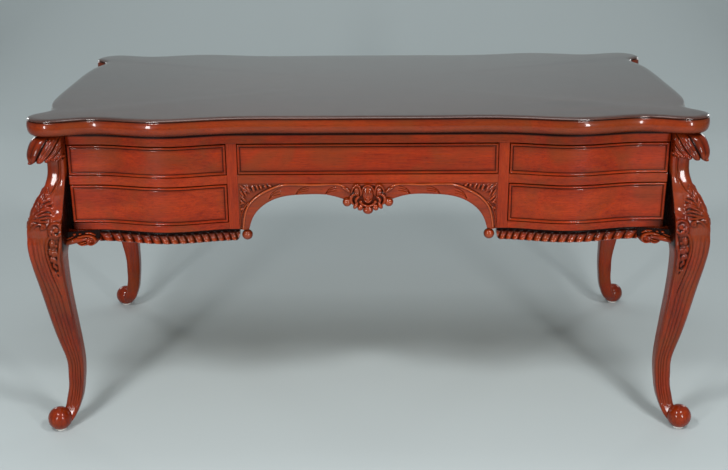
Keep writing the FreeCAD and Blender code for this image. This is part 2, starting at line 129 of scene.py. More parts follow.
def hollows(height, depth, rounds=8):
    """How far each place lies below its surroundings, from 0 to 1, where dark glaze and painted shade gather.
    A place that stands above them goes below 0, to -1, where the finish is painted lighter and shinier, as
    rubbed wear and painted highlight."""
    return np.clip((softened(height, rounds) - height) / depth, -1, 1)


def carved(points, height):
    """A wrapped grid of points moved out along its normals by a carved height. A normal is the cross
    product of the grid's two directions, turned away from the middles of the rows."""
    around = np.roll(points, -1, axis=1) - np.roll(points, 1, axis=1)
    normal = np.cross(np.gradient(points, axis=0), around)
    normal /= np.maximum(np.linalg.norm(normal, axis=-1, keepdims=True), 1e-9)
    spoke = points - points.mean(axis=1, keepdims=True)
    side = np.sign((normal * spoke).sum(axis=-1).mean())
    return points + normal * (side * height)[..., None]


def grid(x, y, z):
    """Points from their x, y and z, each spread over the rows and columns of the others."""
    return np.stack(np.broadcast_arrays(x, y, z), axis=-1)


def turned(profile, middle, count):
    """A turned shape: a profile of (radius, height) pairs swept around an upright axis."""
    radius, rise = np.asarray(profile, float).T[..., None]
    turn = np.linspace(0, 2 * np.pi, count, endpoint=False)
    return grid(radius * np.cos(turn), radius * np.sin(turn), rise) + np.asarray(middle, float)


def ball_profile(radius, count, end=np.pi):
    """The profile of a ball from its top pole down to the end angle."""
    arc = np.linspace(0, end, count)
    return radius * np.column_stack((np.sin(arc), np.cos(arc)))


def shell(points, hollow=0.0, capped=True):
    """One grid surface whose rows close: its points, its hollow values, and whether its ends are capped."""
    return points, np.broadcast_to(np.asarray(hollow, float), points.shape[:2]), capped


def make_piece(name, node, shells, material, flip=(1, 1, 1), body="desk", crease=38):
    """Joins grid surfaces into one mesh at the origin, in metres, closes it and puts it on its body."""
    corners, faces, glaze_and_shade, first = [], [], [], 0
    for points, hollow, capped in shells:
        rows, columns = points.shape[:2]
        row = np.arange(rows - 1)[:, None] * columns
        column = np.arange(columns)
        following = (column + 1) % columns
        quads = np.stack([
            row + column, row + following, row + following + columns, row + column + columns], -1)
        faces += (quads.reshape(-1, 4) + first).tolist()
        corners.append(points.reshape(-1, 3))
        glaze_and_shade.append(hollow.reshape(-1))
        count = rows * columns
        if capped:
            for start in (0, count - columns):
                middle = points.reshape(-1, 3)[start:start + columns].mean(axis=0, keepdims=True)
                ends = np.stack([column + start, following + start, np.full(columns, count)], -1)
                faces += (ends + first).tolist()
                corners.append(middle)
                glaze_and_shade.append(np.zeros(1))
                count += 1
        first += count
    mesh = bpy.data.meshes.new(name)
    mesh.from_pydata(np.concatenate(corners) * np.array(flip) * MM, [], faces)
    # Each point's hollow value: the material paints glaze and painted shade where it is high, rubbed wear and
    # painted highlight where it is below 0
    dark = mesh.attributes.new("hollow", "FLOAT", "POINT")
    dark.data.foreach_set("value", np.concatenate(glaze_and_shade).astype(np.float32))
    sheet = bmesh.new()
    sheet.from_mesh(mesh)
    bmesh.ops.remove_doubles(sheet, verts=sheet.verts, dist=1e-6)
    bmesh.ops.recalc_face_normals(sheet, faces=sheet.faces)
    sheet.to_mesh(mesh)
    sheet.free()
    mesh.polygons.foreach_set("use_smooth", np.ones(len(mesh.polygons), bool))
    mesh.set_sharp_from_angle(angle=math.radians(crease))
    mesh.materials.append(material)
    piece = bpy.data.objects.new(name, mesh)
    scene.collection.objects.link(piece)
    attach(piece, body)
    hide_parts(node)


def linear(hex_colour):
    """An sRGB hex colour as linear red, green, blue and full alpha."""
    srgb = np.array([int(hex_colour[i:i + 2], 16) for i in (1, 3, 5)]) / 255
    return (*np.where(srgb <= 0.04045, srgb / 12.92, ((srgb + 0.055) / 1.055) ** 2.4), 1.0)


def add_node(tree, kind, inputs=(), **settings):
    """Adds one shader node, sets its properties, and fills or links its inputs. A node given as an
    input stands for its first output."""
    made = tree.nodes.new("ShaderNode" + kind)
    for name, value in settings.items():
        setattr(made, name, value)
    for socket, value in dict(inputs).items():
        if isinstance(value, bpy.types.Node):
            value = value.outputs[0]
        if isinstance(value, bpy.types.NodeSocket):
            tree.links.new(value, made.inputs[socket])
        else:
            made.inputs[socket].default_value = value
    return made


def new_material(name):
    """A new material and its node tree, emptied."""
    material = bpy.data.materials.new(name)
    material.use_nodes = True
    material.node_tree.nodes.clear()
    return material, material.node_tree


# Mahogany, stained red-brown, with a glaze rubbed into the hollows under a gloss lacquer. It gives the eye
# straight fine grain with darker streaks, short dark pores, near-black dull recesses of glaze and painted
# shade, crests lighter as rubbed wear and painted highlight, broad browner patches, and small sharp lacquer
# highlights.
GRAIN_PITCH_MM, FIGURE_PITCH_MM, PORE_MM, GRAIN_LENGTH = 3.2, 34.0, 0.9, 16.0
GLAZE_AND_SHADE, RUBBED_HIGHLIGHT, RUBBED_HIGHLIGHT_SHARE = "#120402", "#c8602e", 0.4
PATCH, PATCH_SHARE, PATCH_PITCH_MM = "#6b3212", 0.5, 110.0


def mahogany(name, along, light, middle, dark, rough=0.3, coat=0.28, shine=0.1, glazed_and_shaded=True):
    """Mahogany with its grain along one axis: noise stretched that way, coloured through a ramp. A glazed and
    shaded one goes dark and dull where the piece's hollow value is high, as glaze and painted shade, and
    lighter and shinier where it is low, as rubbed wear and painted highlight."""
    material, tree = new_material(name)
    place = add_node(tree, "TexCoord").outputs["Object"]
    stretch = [1 / GRAIN_LENGTH if axis == along else 1.0 for axis in "XYZ"]
    drawn_out = add_node(tree, "Mapping", {"Vector": place, "Scale": stretch})
    figure = add_node(tree, "TexNoise", {
        "Vector": drawn_out, "Scale": 1 / (FIGURE_PITCH_MM * MM), "Detail": 3.0, "Distortion": 0.6})
    grain = add_node(tree, "TexNoise", {
        "Vector": drawn_out, "Scale": 1 / (GRAIN_PITCH_MM * MM), "Detail": 4.0, "Roughness": 0.62})
    pores = add_node(tree, "TexNoise", {"Vector": drawn_out, "Scale": 1 / (PORE_MM * MM), "Detail": 1.0})
    streak = add_node(tree, "Mix", {"Factor": 0.5, 2: figure, 3: grain})
    ramp = add_node(tree, "ValToRGB", {"Fac": streak})
    ramp.color_ramp.elements[0].position = 0.32
    ramp.color_ramp.elements[0].color = linear(dark)
    ramp.color_ramp.elements[1].position = 0.68
    ramp.color_ramp.elements[1].color = linear(light)
    ramp.color_ramp.elements.new(0.5).color = linear(middle)
    pore = add_node(tree, "MapRange", {
        "Value": pores, "From Min": 0.30, "From Max": 0.42, "To Min": 0.55, "To Max": 1.0})
    colour = add_node(tree, "Mix", {
        "Factor": 1.0, 6: ramp, 7: pore},
        data_type="RGBA", blend_type="MULTIPLY").outputs[2]
    polish = coat
    if glazed_and_shaded:
        patch = add_node(tree, "TexNoise", {
            "Vector": place, "Scale": 1 / (PATCH_PITCH_MM * MM), "Detail": 2.0, "Distortion": 1.0})
        browner = add_node(tree, "MapRange", {
            "Value": patch, "From Min": 0.42, "From Max": 0.66, "To Max": PATCH_SHARE})
        # The hollow value paints glaze and painted shade where high, rubbed wear and painted highlight where
        # below 0
        hollow = add_node(tree, "Attribute", attribute_name="hollow").outputs["Fac"]
        rubbed_highlight = add_node(tree, "MapRange", {"Value": hollow, "From Max": -1.0, "To Max": RUBBED_HIGHLIGHT_SHARE})
        for share, tone in ((browner, PATCH), (hollow, GLAZE_AND_SHADE), (rubbed_highlight, RUBBED_HIGHLIGHT)):
            layers = {"Factor": share, 6: colour, 7: linear(tone)}
            colour = add_node(tree, "Mix", layers, data_type="RGBA").outputs[2]
        polish = add_node(tree, "Math", {
            0: hollow, 1: -coat, 2: coat}, operation="MULTIPLY_ADD", use_clamp=True).outputs[0]
    sheen = add_node(tree, "MapRange", {
        "Value": grain, "From Min": 0.3, "From Max": 0.7,
        "To Min": rough + 0.07, "To Max": rough - 0.05})
    relief = add_node(tree, "Bump", {"Height": grain, "Strength": 0.05, "Distance": 0.0006})
    wood = add_node(tree, "BsdfPrincipled", {
        "Base Color": colour, "Roughness": sheen, "IOR": 1.5, "Specular IOR Level": shine,
        "Normal": relief, "Coat Weight": polish, "Coat Roughness": 0.05, "Coat IOR": 1.5})
    add_node(tree, "OutputMaterial", {"Surface": wood})
    return material


CARVED_TONES = ("#96320c", "#7d2406", "#551302")
carved_mahogany = mahogany("carved_mahogany_upright_grain", "Z", *CARVED_TONES, rough=0.26, coat=0.5)

leg_up = np.linspace(LEG_STATIONS[0, 0], LEG_STATIONS[-1, 0], LEG_ROWS)
climb = LEG_STATIONS[::-1]
# Above the knee the leg reaches further towards the case, up to the corner post
inside_extra = np.interp(leg_up, (450, 500), (0, 5.5))[:, None]
leg_reach = smooth_curve(climb[:, 0], climb[:, 1], leg_up)[:, None] - inside_extra / 2
leg_width = smooth_curve(climb[:, 0], climb[:, 2], leg_up)[:, None] + inside_extra
half_face = leg_width / 2
leg_turn = np.pi / 4 + np.linspace(-np.pi, np.pi, LEG_COLUMNS, endpoint=False)[None]
squareness = np.interp(leg_up, (440, 520, 600, 640), (5.0, 8.0, 6.0, 3.6))[:, None]
rounding = np.abs(np.cos(leg_turn)) ** squareness + np.abs(np.sin(leg_turn)) ** squareness
spoke = half_face / rounding ** (1 / squareness)
square_x = spoke * np.cos(leg_turn)
square_y = spoke * np.sin(leg_turn)
leg_z = np.broadcast_to(leg_up[:, None], spoke.shape)
# Place on the two carved faces: millimetres from the face's middle, positive towards the case
across = -np.minimum(square_x, square_y)
outer_face = square_x + square_y > -1.0
share_across = across / half_face


def between(value, low, high, edge):
    """1 between two limits and 0 beyond them, with a smooth step of the given width at each."""
    rise = clamp((value - low) / edge + 0.5)
    fall = clamp((high - value) / edge + 0.5)
    return rise * rise * (3 - 2 * rise) * fall * fall * (3 - 2 * fall)


# Zones of the leg by height: low, high and the width of the soft step at both
NECK_ZONE, LEAF_ZONE, CASE_CORNER_ZONE = (550, 700, 26), (500, 618, 24), (470, 640, 24)
RIDGE_ZONE, RIDGE_GROOVE_ZONE = (590, 690, 16), (606, 690, 16)
REED_ZONE, BELOW_KNEE, PENDANT_ZONE = (60, 500, 40), (0, 500, 24), (409, 504, 8)
# A fine ridge wanders down the neck and the leaf. Near it starts a smooth hollow facet beside the case.
RIDGE = np.array((
    # height, share across the face
    (540, 0.4), (552, 0.38), (564, 0.46), (571, 0.43), (579, 0.26), (586, 0.3), (591, 0.02), (596, -0.26),
    (605, 0.03), (614, 0.18), (621, 0.27), (631, 0.46), (647, 0.49), (690, 0.49)))
FACET_START = np.array(((540, 0.42), (571, 0.44), (600, 0.28), (625, 0.34), (650, 0.49)))
FACET_SLOPE, FACET_HOLLOW = 0.55, 0.6
ridge_share = np.interp(leg_z, *RIDGE.T)
facet_start = np.interp(leg_z, *FACET_START.T)


def facet_cut(toward_case):
    """Depth of the facet: none up to its start, then a steady slope with a shallow sine hollow on it."""
    beyond = clamp(toward_case / half_face - facet_start)
    hollow = FACET_HOLLOW * np.sin(np.pi * clamp(beyond / (1 - facet_start)))
    return between(leg_z, *NECK_ZONE) * (FACET_SLOPE * half_face * beyond + hollow)


leg_x = np.minimum(square_x, half_face - facet_cut(-square_y))
leg_y = np.minimum(square_y, half_face - facet_cut(-square_x))
leg_points = grid(NECK_X + leg_reach + leg_x, NECK_Y + leg_reach + leg_y, leg_z)
# Reeds down the shaft: round ribs parted by sharp grooves that drift inwards below the knee
RIB_RISE, RIB_SINK, RIB_FULL_SHARE = 2.7, 1.7, 0.42
RIB_GROOVES = (
    # heights, and the groove's share across the face at each
    ((100, 520), (-1.03, -1.03)),
    ((100, 263, 360, 412, 462, 500), (-0.42, -0.4, -0.4, -0.5, -0.6, -0.62)),
    ((100, 360, 412, 462, 500), (-0.02, -0.1, -0.26, -0.34, -0.38)),
    ((100, 360, 412, 462, 495), (0.26, 0.2, -0.02, -0.13, -0.2)),
    ((100, 350, 387, 420, 458, 490), (0.58, 0.5, 0.38, 0.2, 0.06, 0.0)),
    ((100, 520), (1.03, 1.03)),
)
grooves = [np.interp(leg_z, heights, shares) for heights, shares in RIB_GROOVES]
reeding = np.zeros_like(spoke)
for low_side, high_side in zip(grooves[:-1], grooves[1:]):
    place = clamp((share_across - low_side) / (high_side - low_side)) * 2 - 1
    rise = RIB_RISE * clamp((high_side - low_side) / RIB_FULL_SHARE) ** 0.5
    reeding = np.maximum(reeding, rise * (1 - place ** 2))
reeding = (reeding - RIB_SINK) * between(leg_z, *REED_ZONE)
# The pendant below the knee: a sunk drop shape between two strands, which holds husks
channel_low = np.interp(leg_z, (412, 430, 440, 460, 475, 500), (0.62, 0.37, 0.32, 0.22, 0.18, 0.27))
channel_high = np.interp(leg_z, (412, 428, 449, 467, 482, 500), (0.7, 0.74, 0.75, 0.76, 0.8, 0.88))
channel = between(share_across, channel_low, channel_high, 0.07) * between(leg_z, *PENDANT_ZONE)
# The ridge itself: a fine bead with a groove on its outer side, measured in shares across the face
RIDGE_RISE, GROOVE_DEPTH, RIDGE_WIDTH, GROOVE_AWAY = 2.2, 1.6, 0.055, 0.13
beside_ridge = share_across - ridge_share
neck_carving = RIDGE_RISE * np.exp(-(beside_ridge / RIDGE_WIDTH) ** 2) * between(leg_z, *RIDGE_ZONE)
in_groove = np.exp(-((beside_ridge + GROOVE_AWAY) / RIDGE_WIDTH) ** 2)
neck_carving -= GROOVE_DEPTH * in_groove * between(leg_z, *RIDGE_GROOVE_ZONE)
# Knee strands, given as places (share across the face, height)
KNEE_STRANDS = (
    # points, half width, height, taper
    (((-0.62, 557), (-0.44, 564), (-0.2, 568), (-0.02, 571), (0.26, 570), (0.43, 564)), 2.8, 4.6, 0.5),
    (((-0.5, 556), (-0.2, 560), (0.1, 562), (0.4, 559)), 2.6, 4.0, 0.4),
    (((-0.42, 551), (-0.13, 552), (0.1, 554), (0.34, 554)), 2.6, 5.2, 0.4),
    (((-0.66, 549), (-0.34, 546.5), (-0.1, 545.5), (0.16, 545)), 2.6, 5.2, 0.4),
    (((-0.78, 546), (-0.66, 543), (-0.5, 542), (-0.4, 541)), 2.0, 3.0, 0.5),
    (((-0.64, 527), (-0.54, 534), (-0.43, 538), (-0.3, 540), (-0.15, 540), (0.0, 538),
      (0.08, 533.5), (0.03, 529.5), (-0.08, 530), (-0.1, 534)), 2.4, 5.2, 0.3),
    (((0.3, 530), (0.36, 536), (0.47, 540), (0.6, 541.5), (0.75, 541), (0.88, 537), (0.96, 530),
      (0.97, 522), (0.9, 515), (0.78, 511.5), (0.64, 512.5), (0.55, 517), (0.57, 523)), 2.9, 5.6, 0.25),
    (((0.3, 527), (0.33, 519), (0.42, 513), (0.56, 508)), 2.3, 3.8, 0.5),
    (((-0.4, 597), (-0.42, 586), (-0.5, 574)), 2.1, 4.0, 0.6),
    (((-0.34, 578), (0.0, 583), (0.26, 586)), 3.4, 4.4, 0.6),
    (((-0.36, 571), (0.02, 576), (0.38, 573)), 3.2, 4.2, 0.6),
    (((-0.36, 586), (-0.18, 591), (-0.06, 591)), 2.8, 4.0, 0.6),
    (((-0.45, 584), (-0.57, 591), (-0.6, 598)), 2.4, 3.6, 0.6),
    (((-0.52, 572), (-0.63, 580), (-0.67, 588)), 2.4, 3.4, 0.6),
    (((-0.62, 612), (-0.69, 603), (-0.75, 588), (-0.79, 572), (-0.8, 560)), 1.9, 3.0, 0.5),
    (((-0.66, 616), (-0.55, 612), (-0.36, 606), (-0.2, 601)), 2.4, 3.8, 0.6),
    (((-0.6, 607), (-0.42, 602), (-0.3, 597)), 2.0, 3.2, 0.6),
    (((0.36, 511), (0.25, 503), (0.19, 496), (0.14, 485), (0.12, 475), (0.16, 460), (0.26, 440),
      (0.34, 415), (0.45, 387), (0.6, 360)), 2.2, 3.4, 0.3),
    (((1.02, 497), (0.95, 488), (0.88, 480), (0.82, 467), (0.81, 450), (0.8, 430), (0.72, 413)),
     2.5, 4.0, 0.2),
    (((1.02, 486), (0.98, 474), (0.94, 452), (0.92, 411), (0.91, 360), (0.9, 300)), 2.3, 2.8, 0.2),
)
HUSKS = (
    # share across, height, half width, half length, rise
    (-0.7, 540, 3, 4, 3.4), (0.72, 526, 5, 5.5, 5.4), (0.42, 522, 3.6, 4.4, 4.6), (0.62, 514, 3.4, 3.4, 5.6),
    (-0.08, 534, 3, 3, 5.0), (0.44, 492, 6.6, 10, 5.2), (0.68, 486, 3.2, 3.6, 4.4), (0.32, 471, 4, 8, 3.6),
    (0.5, 467, 4.6, 9, 3.8), (0.67, 467, 3.8, 9, 3.4), (0.38, 453, 3.4, 8, 3.4), (0.55, 450, 4.2, 9, 3.8),
    (0.69, 446, 3.2, 8, 3.2), (0.48, 437, 3.4, 7, 3.4), (0.62, 431, 3.4, 7, 3.4), (0.66, 418, 4.0, 4.2, 4.6),
)
knee = np.zeros_like(spoke)
for places, *sizes in KNEE_STRANDS:
    line = np.array([(share * np.interp(z, leg_up[::-1], half_face[::-1, 0]), z) for share, z in places])
    knee = np.maximum(knee, strand(across, leg_z, line, *sizes))
for share, z, half_width, half_length, rise in HUSKS:
    side_step = (across - share * half_face) / half_width
    up_step = (leg_z - z) / half_length
    knee = np.maximum(knee, rise * dome(np.hypot(side_step, up_step)))
# The carving dies out at the outer corner, which stays a clean line. Its ground is sunk behind that
# line, most at the knee, so that it stays inside the CAD leg's reach.
CLEAN_CORNER, CORNER_FADE, CORNER_FOOT = 0.98, 0.16, 505.0
# The leaf's ground across the face: low and high share, and the width of the soft step at both
LEAF_ACROSS, GROUND_SINK, PENDANT_SINK = (-0.95, 0.36, 0.2), 1.8, 3.6
KNEE_SINK, KNEE_MIDDLE, KNEE_SPREAD, KNEE_REACH = 3.2, 503.0, 26.0, np.array((789.6, 424.6, 740.0))
off_corner = clamp((share_across + CLEAN_CORNER) / CORNER_FADE)
knee = knee * np.where(leg_z > CORNER_FOOT, off_corner, 1)
ground = between(leg_z, *LEAF_ZONE) * between(share_across, *LEAF_ACROSS) * (beside_ridge < 0.02)
ground = -GROUND_SINK * ground * (1 - channel) - PENDANT_SINK * channel
leg_height = knee + ground + reeding * between(leg_z, *BELOW_KNEE) * (1 - channel) + neck_carving
at_knee = np.exp(-((leg_z - KNEE_MIDDLE) / KNEE_SPREAD) ** 2)
leg_height = leg_height - KNEE_SINK * at_knee * off_corner
leg_height = softened(np.where(outer_face, leg_height, 0), 1)
# Glaze and painted shade in the carving's hollows; crests lighter, as rubbed wear and painted highlight
LEG_GLAZE_SHADE_DEPTH, LEG_MOST_RUBBED_HIGHLIGHT = 1.5, -0.35
leg_hollow = np.maximum(hollows(leg_height, LEG_GLAZE_SHADE_DEPTH, 10), LEG_MOST_RUBBED_HIGHLIGHT)
# Beside the case the leg is painted dark in the corner, as shade
DARK_FROM, DARK_FADE = 0.93, 0.05
beside_case = clamp((-np.minimum(leg_x, leg_y) / half_face - DARK_FROM) / DARK_FADE)
leg_hollow = np.maximum(leg_hollow, beside_case * between(leg_z, *CASE_CORNER_ZONE))
leg_shaft = np.minimum(carved(leg_points, leg_height), KNEE_REACH)
foot_ball = ball_profile(BALL_RADIUS, BALL_ROWS, np.pi - math.asin(BALL_FLAT_RADIUS / BALL_RADIUS))
# The square stump inside the case: rows of one rectangle, with even steps along each side
stump_sides = np.roll(STUMP_PLAN, -1, axis=0) - STUMP_PLAN
stump_share = np.linspace(0, 1, STUMP_STEPS, endpoint=False)[:, None]
stump_ring = STUMP_PLAN[:, None] + stump_sides[:, None] * stump_share
stump = grid(*stump_ring.reshape(-1, 2).T, np.linspace(STUMP_FOOT, STUMP_HEAD, STUMP_ROWS)[:, None])
foot = turned(foot_ball, BALL_CENTRE, BALL_COLUMNS)
# The stump is painted full dark, as the shade in the gap between the leg and the drawers
leg_shells = [shell(leg_shaft, leg_hollow), shell(foot), shell(stump, 1.0)]
PLACES = (
    ("rear_right", (1, 1, 1)), ("rear_left", (-1, 1, 1)),
    ("front_right", (1, -1, 1)), ("front_left", (-1, -1, 1)))
for place, flip in PLACES:
    make_piece(place + "_cabriole", place + "_leg", leg_shells, carved_mahogany, flip=flip)

# Leaf capitals
# A drooping acanthus leaf of carved mahogany, glued around the outer half of each neck under the top.
# Its lobes are parted by deep grooves, and each ends in a small bead on the lower edge.
TOP_UNDERSIDE, LEAF_TIP = 740.0, 676.0
LEAF_REACH, LEAF_HALF_WIDTH, LEAF_ROOT = 68.0, 42.0, 24.0
LEAF_FAN, VEINS_PER_LOBE, LEAF_SWEEP = math.radians(124), 3, 0.72
LOBE_DEPTH, VEIN_DEPTH, LOBE_LIFT, LEAF_BEAD = 4.4, 1.7, 6.0, 3.0
LEAF_ROWS, OVER_STEPS, UNDER_STEPS, INSIDE_STEPS = 417, 52, 18, 8
LOBES_BESIDE, BEAD_ROWS, BEAD_COLUMNS, DRAWER_PATH_X = 7, 12, 18, 694.5

leaf_turn = np.linspace(-LEAF_FAN, LEAF_FAN, LEAF_ROWS)[:, None]
# The leaf's section as shares of its reach and drop: over the top, back underneath, up the inside
leaf_over = smooth_path(
    ((0.0, 1.0), (0.34, 0.94), (0.66, 0.8), (0.9, 0.52), (1.0, 0.2), (0.95, 0.0)), OVER_STEPS)
leaf_under = smooth_path(((0.95, 0.0), (0.6, 0.16), (0.2, 0.24), (-0.12, 0.26)), UNDER_STEPS)[1:]
leaf_inside = np.column_stack((np.full(INSIDE_STEPS, -0.12), np.linspace(0.32, 1.0, INSIDE_STEPS)))
leaf_out, leaf_rise = np.concatenate((leaf_over, leaf_under, leaf_inside)).T
leaf_along = np.concatenate((
    np.linspace(0, 1, OVER_STEPS), np.ones(UNDER_STEPS - 1), np.linspace(1, 0, INSIDE_STEPS)))
leaf_plan = 1 / np.hypot(np.cos(leaf_turn) / LEAF_REACH, np.sin(leaf_turn) / LEAF_HALF_WIDTH)
LOBE_TURNS = np.radians((0, 15, 32, 46, 59, 72, 86, 102, 120, 140, 216))
LOBE_COUNTS = (0, 0.5, 1.5, 2.5, 3.5, 4.5, 5.5, 6.5, 7.5, 8.5, 12.5)
lobe_phase = np.abs(leaf_turn) / (1 - LEAF_SWEEP * leaf_along) * (1 - LEAF_SWEEP)
lobe_place = np.interp(lobe_phase, LOBE_TURNS, LOBE_COUNTS) + 0.5
lobe_edge = np.abs(lobe_place % 1 - 0.5) * 2
lobe_swell = dome(lobe_edge)
vein = np.abs((lobe_place * VEINS_PER_LOBE) % 1 - 0.5) * 2
carve_weight = clamp(leaf_out) ** 0.7
leaf_fall = 0.9 + 0.1 * np.exp(-np.abs(leaf_turn) / math.radians(18))
leaf_radius = LEAF_ROOT + (leaf_plan - LEAF_ROOT) * leaf_out
leaf_radius = leaf_radius - carve_weight * (LOBE_DEPTH * (1 - lobe_swell) + VEIN_DEPTH * vein ** 2.5)
leaf_level = TOP_UNDERSIDE - (TOP_UNDERSIDE - LEAF_TIP) * (1 - leaf_rise) * leaf_fall
lobe_tip = lobe_edge ** 3 * clamp(1 - leaf_rise / 0.4) * clamp(leaf_out)
leaf_points = grid(
    np.maximum(NECK_X + leaf_radius * np.cos(leaf_turn + np.pi / 4), DRAWER_PATH_X),
    NECK_Y + leaf_radius * np.sin(leaf_turn + np.pi / 4), leaf_level + LOBE_LIFT * lobe_tip)
# The leaf is painted dark in its grooves and veins, as glaze and painted shade, and lighter on the lobes'
# rims, as rubbed wear and painted highlight. Near the root under the top, and on its hidden back, it is
# painted full dark as shade.
leaf_rim = clamp(1 - np.abs(leaf_along - 0.9) / 0.09) * lobe_swell ** 3
leaf_hollow = carve_weight * (0.25 + 0.8 * lobe_edge ** 5 + 0.6 * vein ** 3) - 0.9 * leaf_rim
leaf_hollow = np.maximum(leaf_hollow, clamp(1.35 - leaf_along / 0.32))
leaf_hollow = np.clip(np.where(leaf_out < 0.02, 1.0, leaf_hollow), -1, 1)
leaf_shells = [shell(leaf_points, leaf_hollow)]
bead = ball_profile(LEAF_BEAD, BEAD_ROWS)
rim_column = OVER_STEPS - 3
for lobe in range(-LOBES_BESIDE, LOBES_BESIDE + 1):
    turn_at = np.sign(lobe) * np.interp(abs(lobe), LOBE_COUNTS, LOBE_TURNS)
    row = np.abs(leaf_turn[:, 0] - turn_at).argmin()
    leaf_shells.append(shell(turned(bead, leaf_points[row, rim_column], BEAD_COLUMNS), capped=False))
for place, flip in PLACES:
    make_piece(place + "_acanthus", place + "_capital", leaf_shells, carved_mahogany, flip=flip)

# Knee brackets
# Two blocks of mahogany glued beside each knee under the case, sawn to a scroll and carved
# with one C-scroll strand that curls over into a leaf, above a sunk ground painted dark as shade.
BRACKET_END, BRACKET_ROOT, BRACKET_BACK, CASE_UNDERSIDE = 632.0, 716.0, 344.0, 504.0
BRACKET_SINK, BRACKET_GLAZE_SHADE_DEPTH, BRACKET_ROWS, BRACKET_STEPS = 6.0, 3.0, 130, 60
SUNK_SHADE_FOOT, SUNK_SHADE_FADE = 474.0, 8.0
BRACKET_OUTLINE = np.array((
    # place across, height of the lower edge
    (632, 478), (636, 476), (640, 472), (644, 468.5), (650, 467), (660, 467), (670, 467.5), (677, 470),
    (684, 474), (692, 475.5), (702, 474), (709, 469), (716, 461)))
bracket_x = np.linspace(BRACKET_END, BRACKET_ROOT, BRACKET_ROWS)[:, None]
bracket_low = smooth_curve(*BRACKET_OUTLINE.T, bracket_x)
bracket_z = bracket_low + (CASE_UNDERSIDE - 0.3 - bracket_low) * np.linspace(0, 1, BRACKET_STEPS)
bracket_across = np.broadcast_to(bracket_x, bracket_z.shape)
bracket_face = np.interp(bracket_across, (632, 650, 719), (355, 362, 381))
bracket_carving = np.zeros_like(bracket_z)
for places, *sizes in (
    # points, half width, height, taper
    (((716, 475), (706, 477.5), (696, 480), (686, 482), (676, 483.5), (664, 484)), 6.6, 11.0, 0.3),
    (((716, 464), (706, 471), (696, 475), (686, 476.5)), 2.8, 5.5, 0.4),
    (((655, 479), (651, 479.5)), 10.5, 9.0, 0.0),
    (((680, 490), (668, 492), (657, 491.5), (647.5, 487), (643, 479), (645.5, 472), (653, 469.5),
      (660, 473), (659, 480)), 2.7, 11.5, 0.25),
    (((652, 478), (651, 480)), 3.6, 12.5, 0.0),
    (((684, 476.5), (676, 471.5), (668, 470), (662, 473)), 2.8, 8.0, 0.4),
    (((680, 478), (672, 475.5), (665, 477)), 2.0, 9.0, 0.4),
    (((690, 497), (687, 497)), 2.2, 5.0, 0.0), (((677, 497), (675, 497)), 2.0, 5.0, 0.0),
    (((712, 484), (700, 489), (690, 492)), 1.8, 5.0, 0.5),
    (((664, 498), (652, 497), (643, 491)), 1.8, 6.0, 0.4),
):
    bracket_carving = np.maximum(bracket_carving, strand(bracket_across, bracket_z, places, *sizes))
# Glaze and painted shade in the strands' hollows; the sunk ground is painted darker upwards, as shade under
# the case
bracket_hollow = hollows(bracket_carving, BRACKET_GLAZE_SHADE_DEPTH)
sunk_shade = np.maximum(bracket_hollow, clamp((bracket_z - SUNK_SHADE_FOOT) / SUNK_SHADE_FADE))
bracket_hollow = np.where(bracket_carving < 1, sunk_shade, bracket_hollow)
bracket_front = grid(bracket_across, bracket_face - BRACKET_SINK + bracket_carving, bracket_z)


def backed(front, hollow, back, axis=1):
    """A carved front grid closed into a board: each row runs on to two corners on a flat back, which
    lies at one place along the given axis and has neither glaze nor painted shade."""
    corners = front[:, [-1, 0]].copy()
    corners[..., axis] = back
    return shell(np.concatenate((front, corners), axis=1), np.pad(hollow, ((0, 0), (0, 2))))


# The second bracket is the first with x and y changed over, on the other side of the leg
beside_front = bracket_front[..., [1, 0, 2]] + np.array((NECK_X - NECK_Y, NECK_Y - NECK_X, 0))
bracket_shells = [
    backed(bracket_front, bracket_hollow, BRACKET_BACK),
    backed(beside_front, bracket_hollow, BRACKET_BACK + NECK_X - NECK_Y, axis=0)]
for place, flip in PLACES:
    make_piece(place + "_scroll_brackets", place + "_knee_brackets", bracket_shells, carved_mahogany,
               flip=flip)

# Front rails
# Mahogany rails tenoned between the legs and partitions, shaped to the serpentine front,
# with their edges just eased by sandpaper.
CASE_HALF, RAIL_BACK, FRONT_SWELL = 352.0, 328.0, 26.0
KNEEHOLE_HALF, PARTITION_OUTSIDE, OPENING_END = 302.0, 326.0, 693.0
EASE, LEG_CORNER_SHADE_START, UNDER_TOP = 1.3, 640.0, 727.5
TO_FRONT = (1, -1, 1)
# Limits of the bays across, and of the rails and drawer rows in height
RIGHT_BAY, LEFT_BAY = (PARTITION_OUTSIDE, OPENING_END), (-OPENING_END, -PARTITION_OUTSIDE)
KNEEHOLE, WHOLE_FRONT = (-KNEEHOLE_HALF, KNEEHOLE_HALF), (-OPENING_END, OPENING_END)
TOP_RAIL, UPPER_ROW, MIDDLE_RAIL = (710, 740), (636, 710), (614, 636)
LOWER_ROW, BOTTOM_RAIL = (521, 614), (504, 521)
# Grid steps across and up
RAIL_STEPS, PANEL_STEPS, FRONT_STEPS = (180, 24), (120, 6), (120, 14)
VENEER_TONES = ("#a2350c", "#892605", "#641602")
veneer = mahogany("polished_mahogany_long_grain", "X", *VENEER_TONES)


def face_reach(x):
    """The serpentine face: flat, with one sine-squared swell between kneehole and bracket."""
    turn = clamp((np.abs(x) - KNEEHOLE_HALF) / (BRACKET_END - KNEEHOLE_HALF))
    return CASE_HALF + FRONT_SWELL * np.sin(np.pi * turn) ** 2


def spaced(low, high, borders, count):
    """Places from low to high: close together at the given distances from both ends, even between."""
    borders = np.asarray(borders, float)
    middle = np.linspace(low + borders[-1], high - borders[-1], count)[1:-1]
    return np.concatenate((low + borders, middle, high - borders[::-1]))


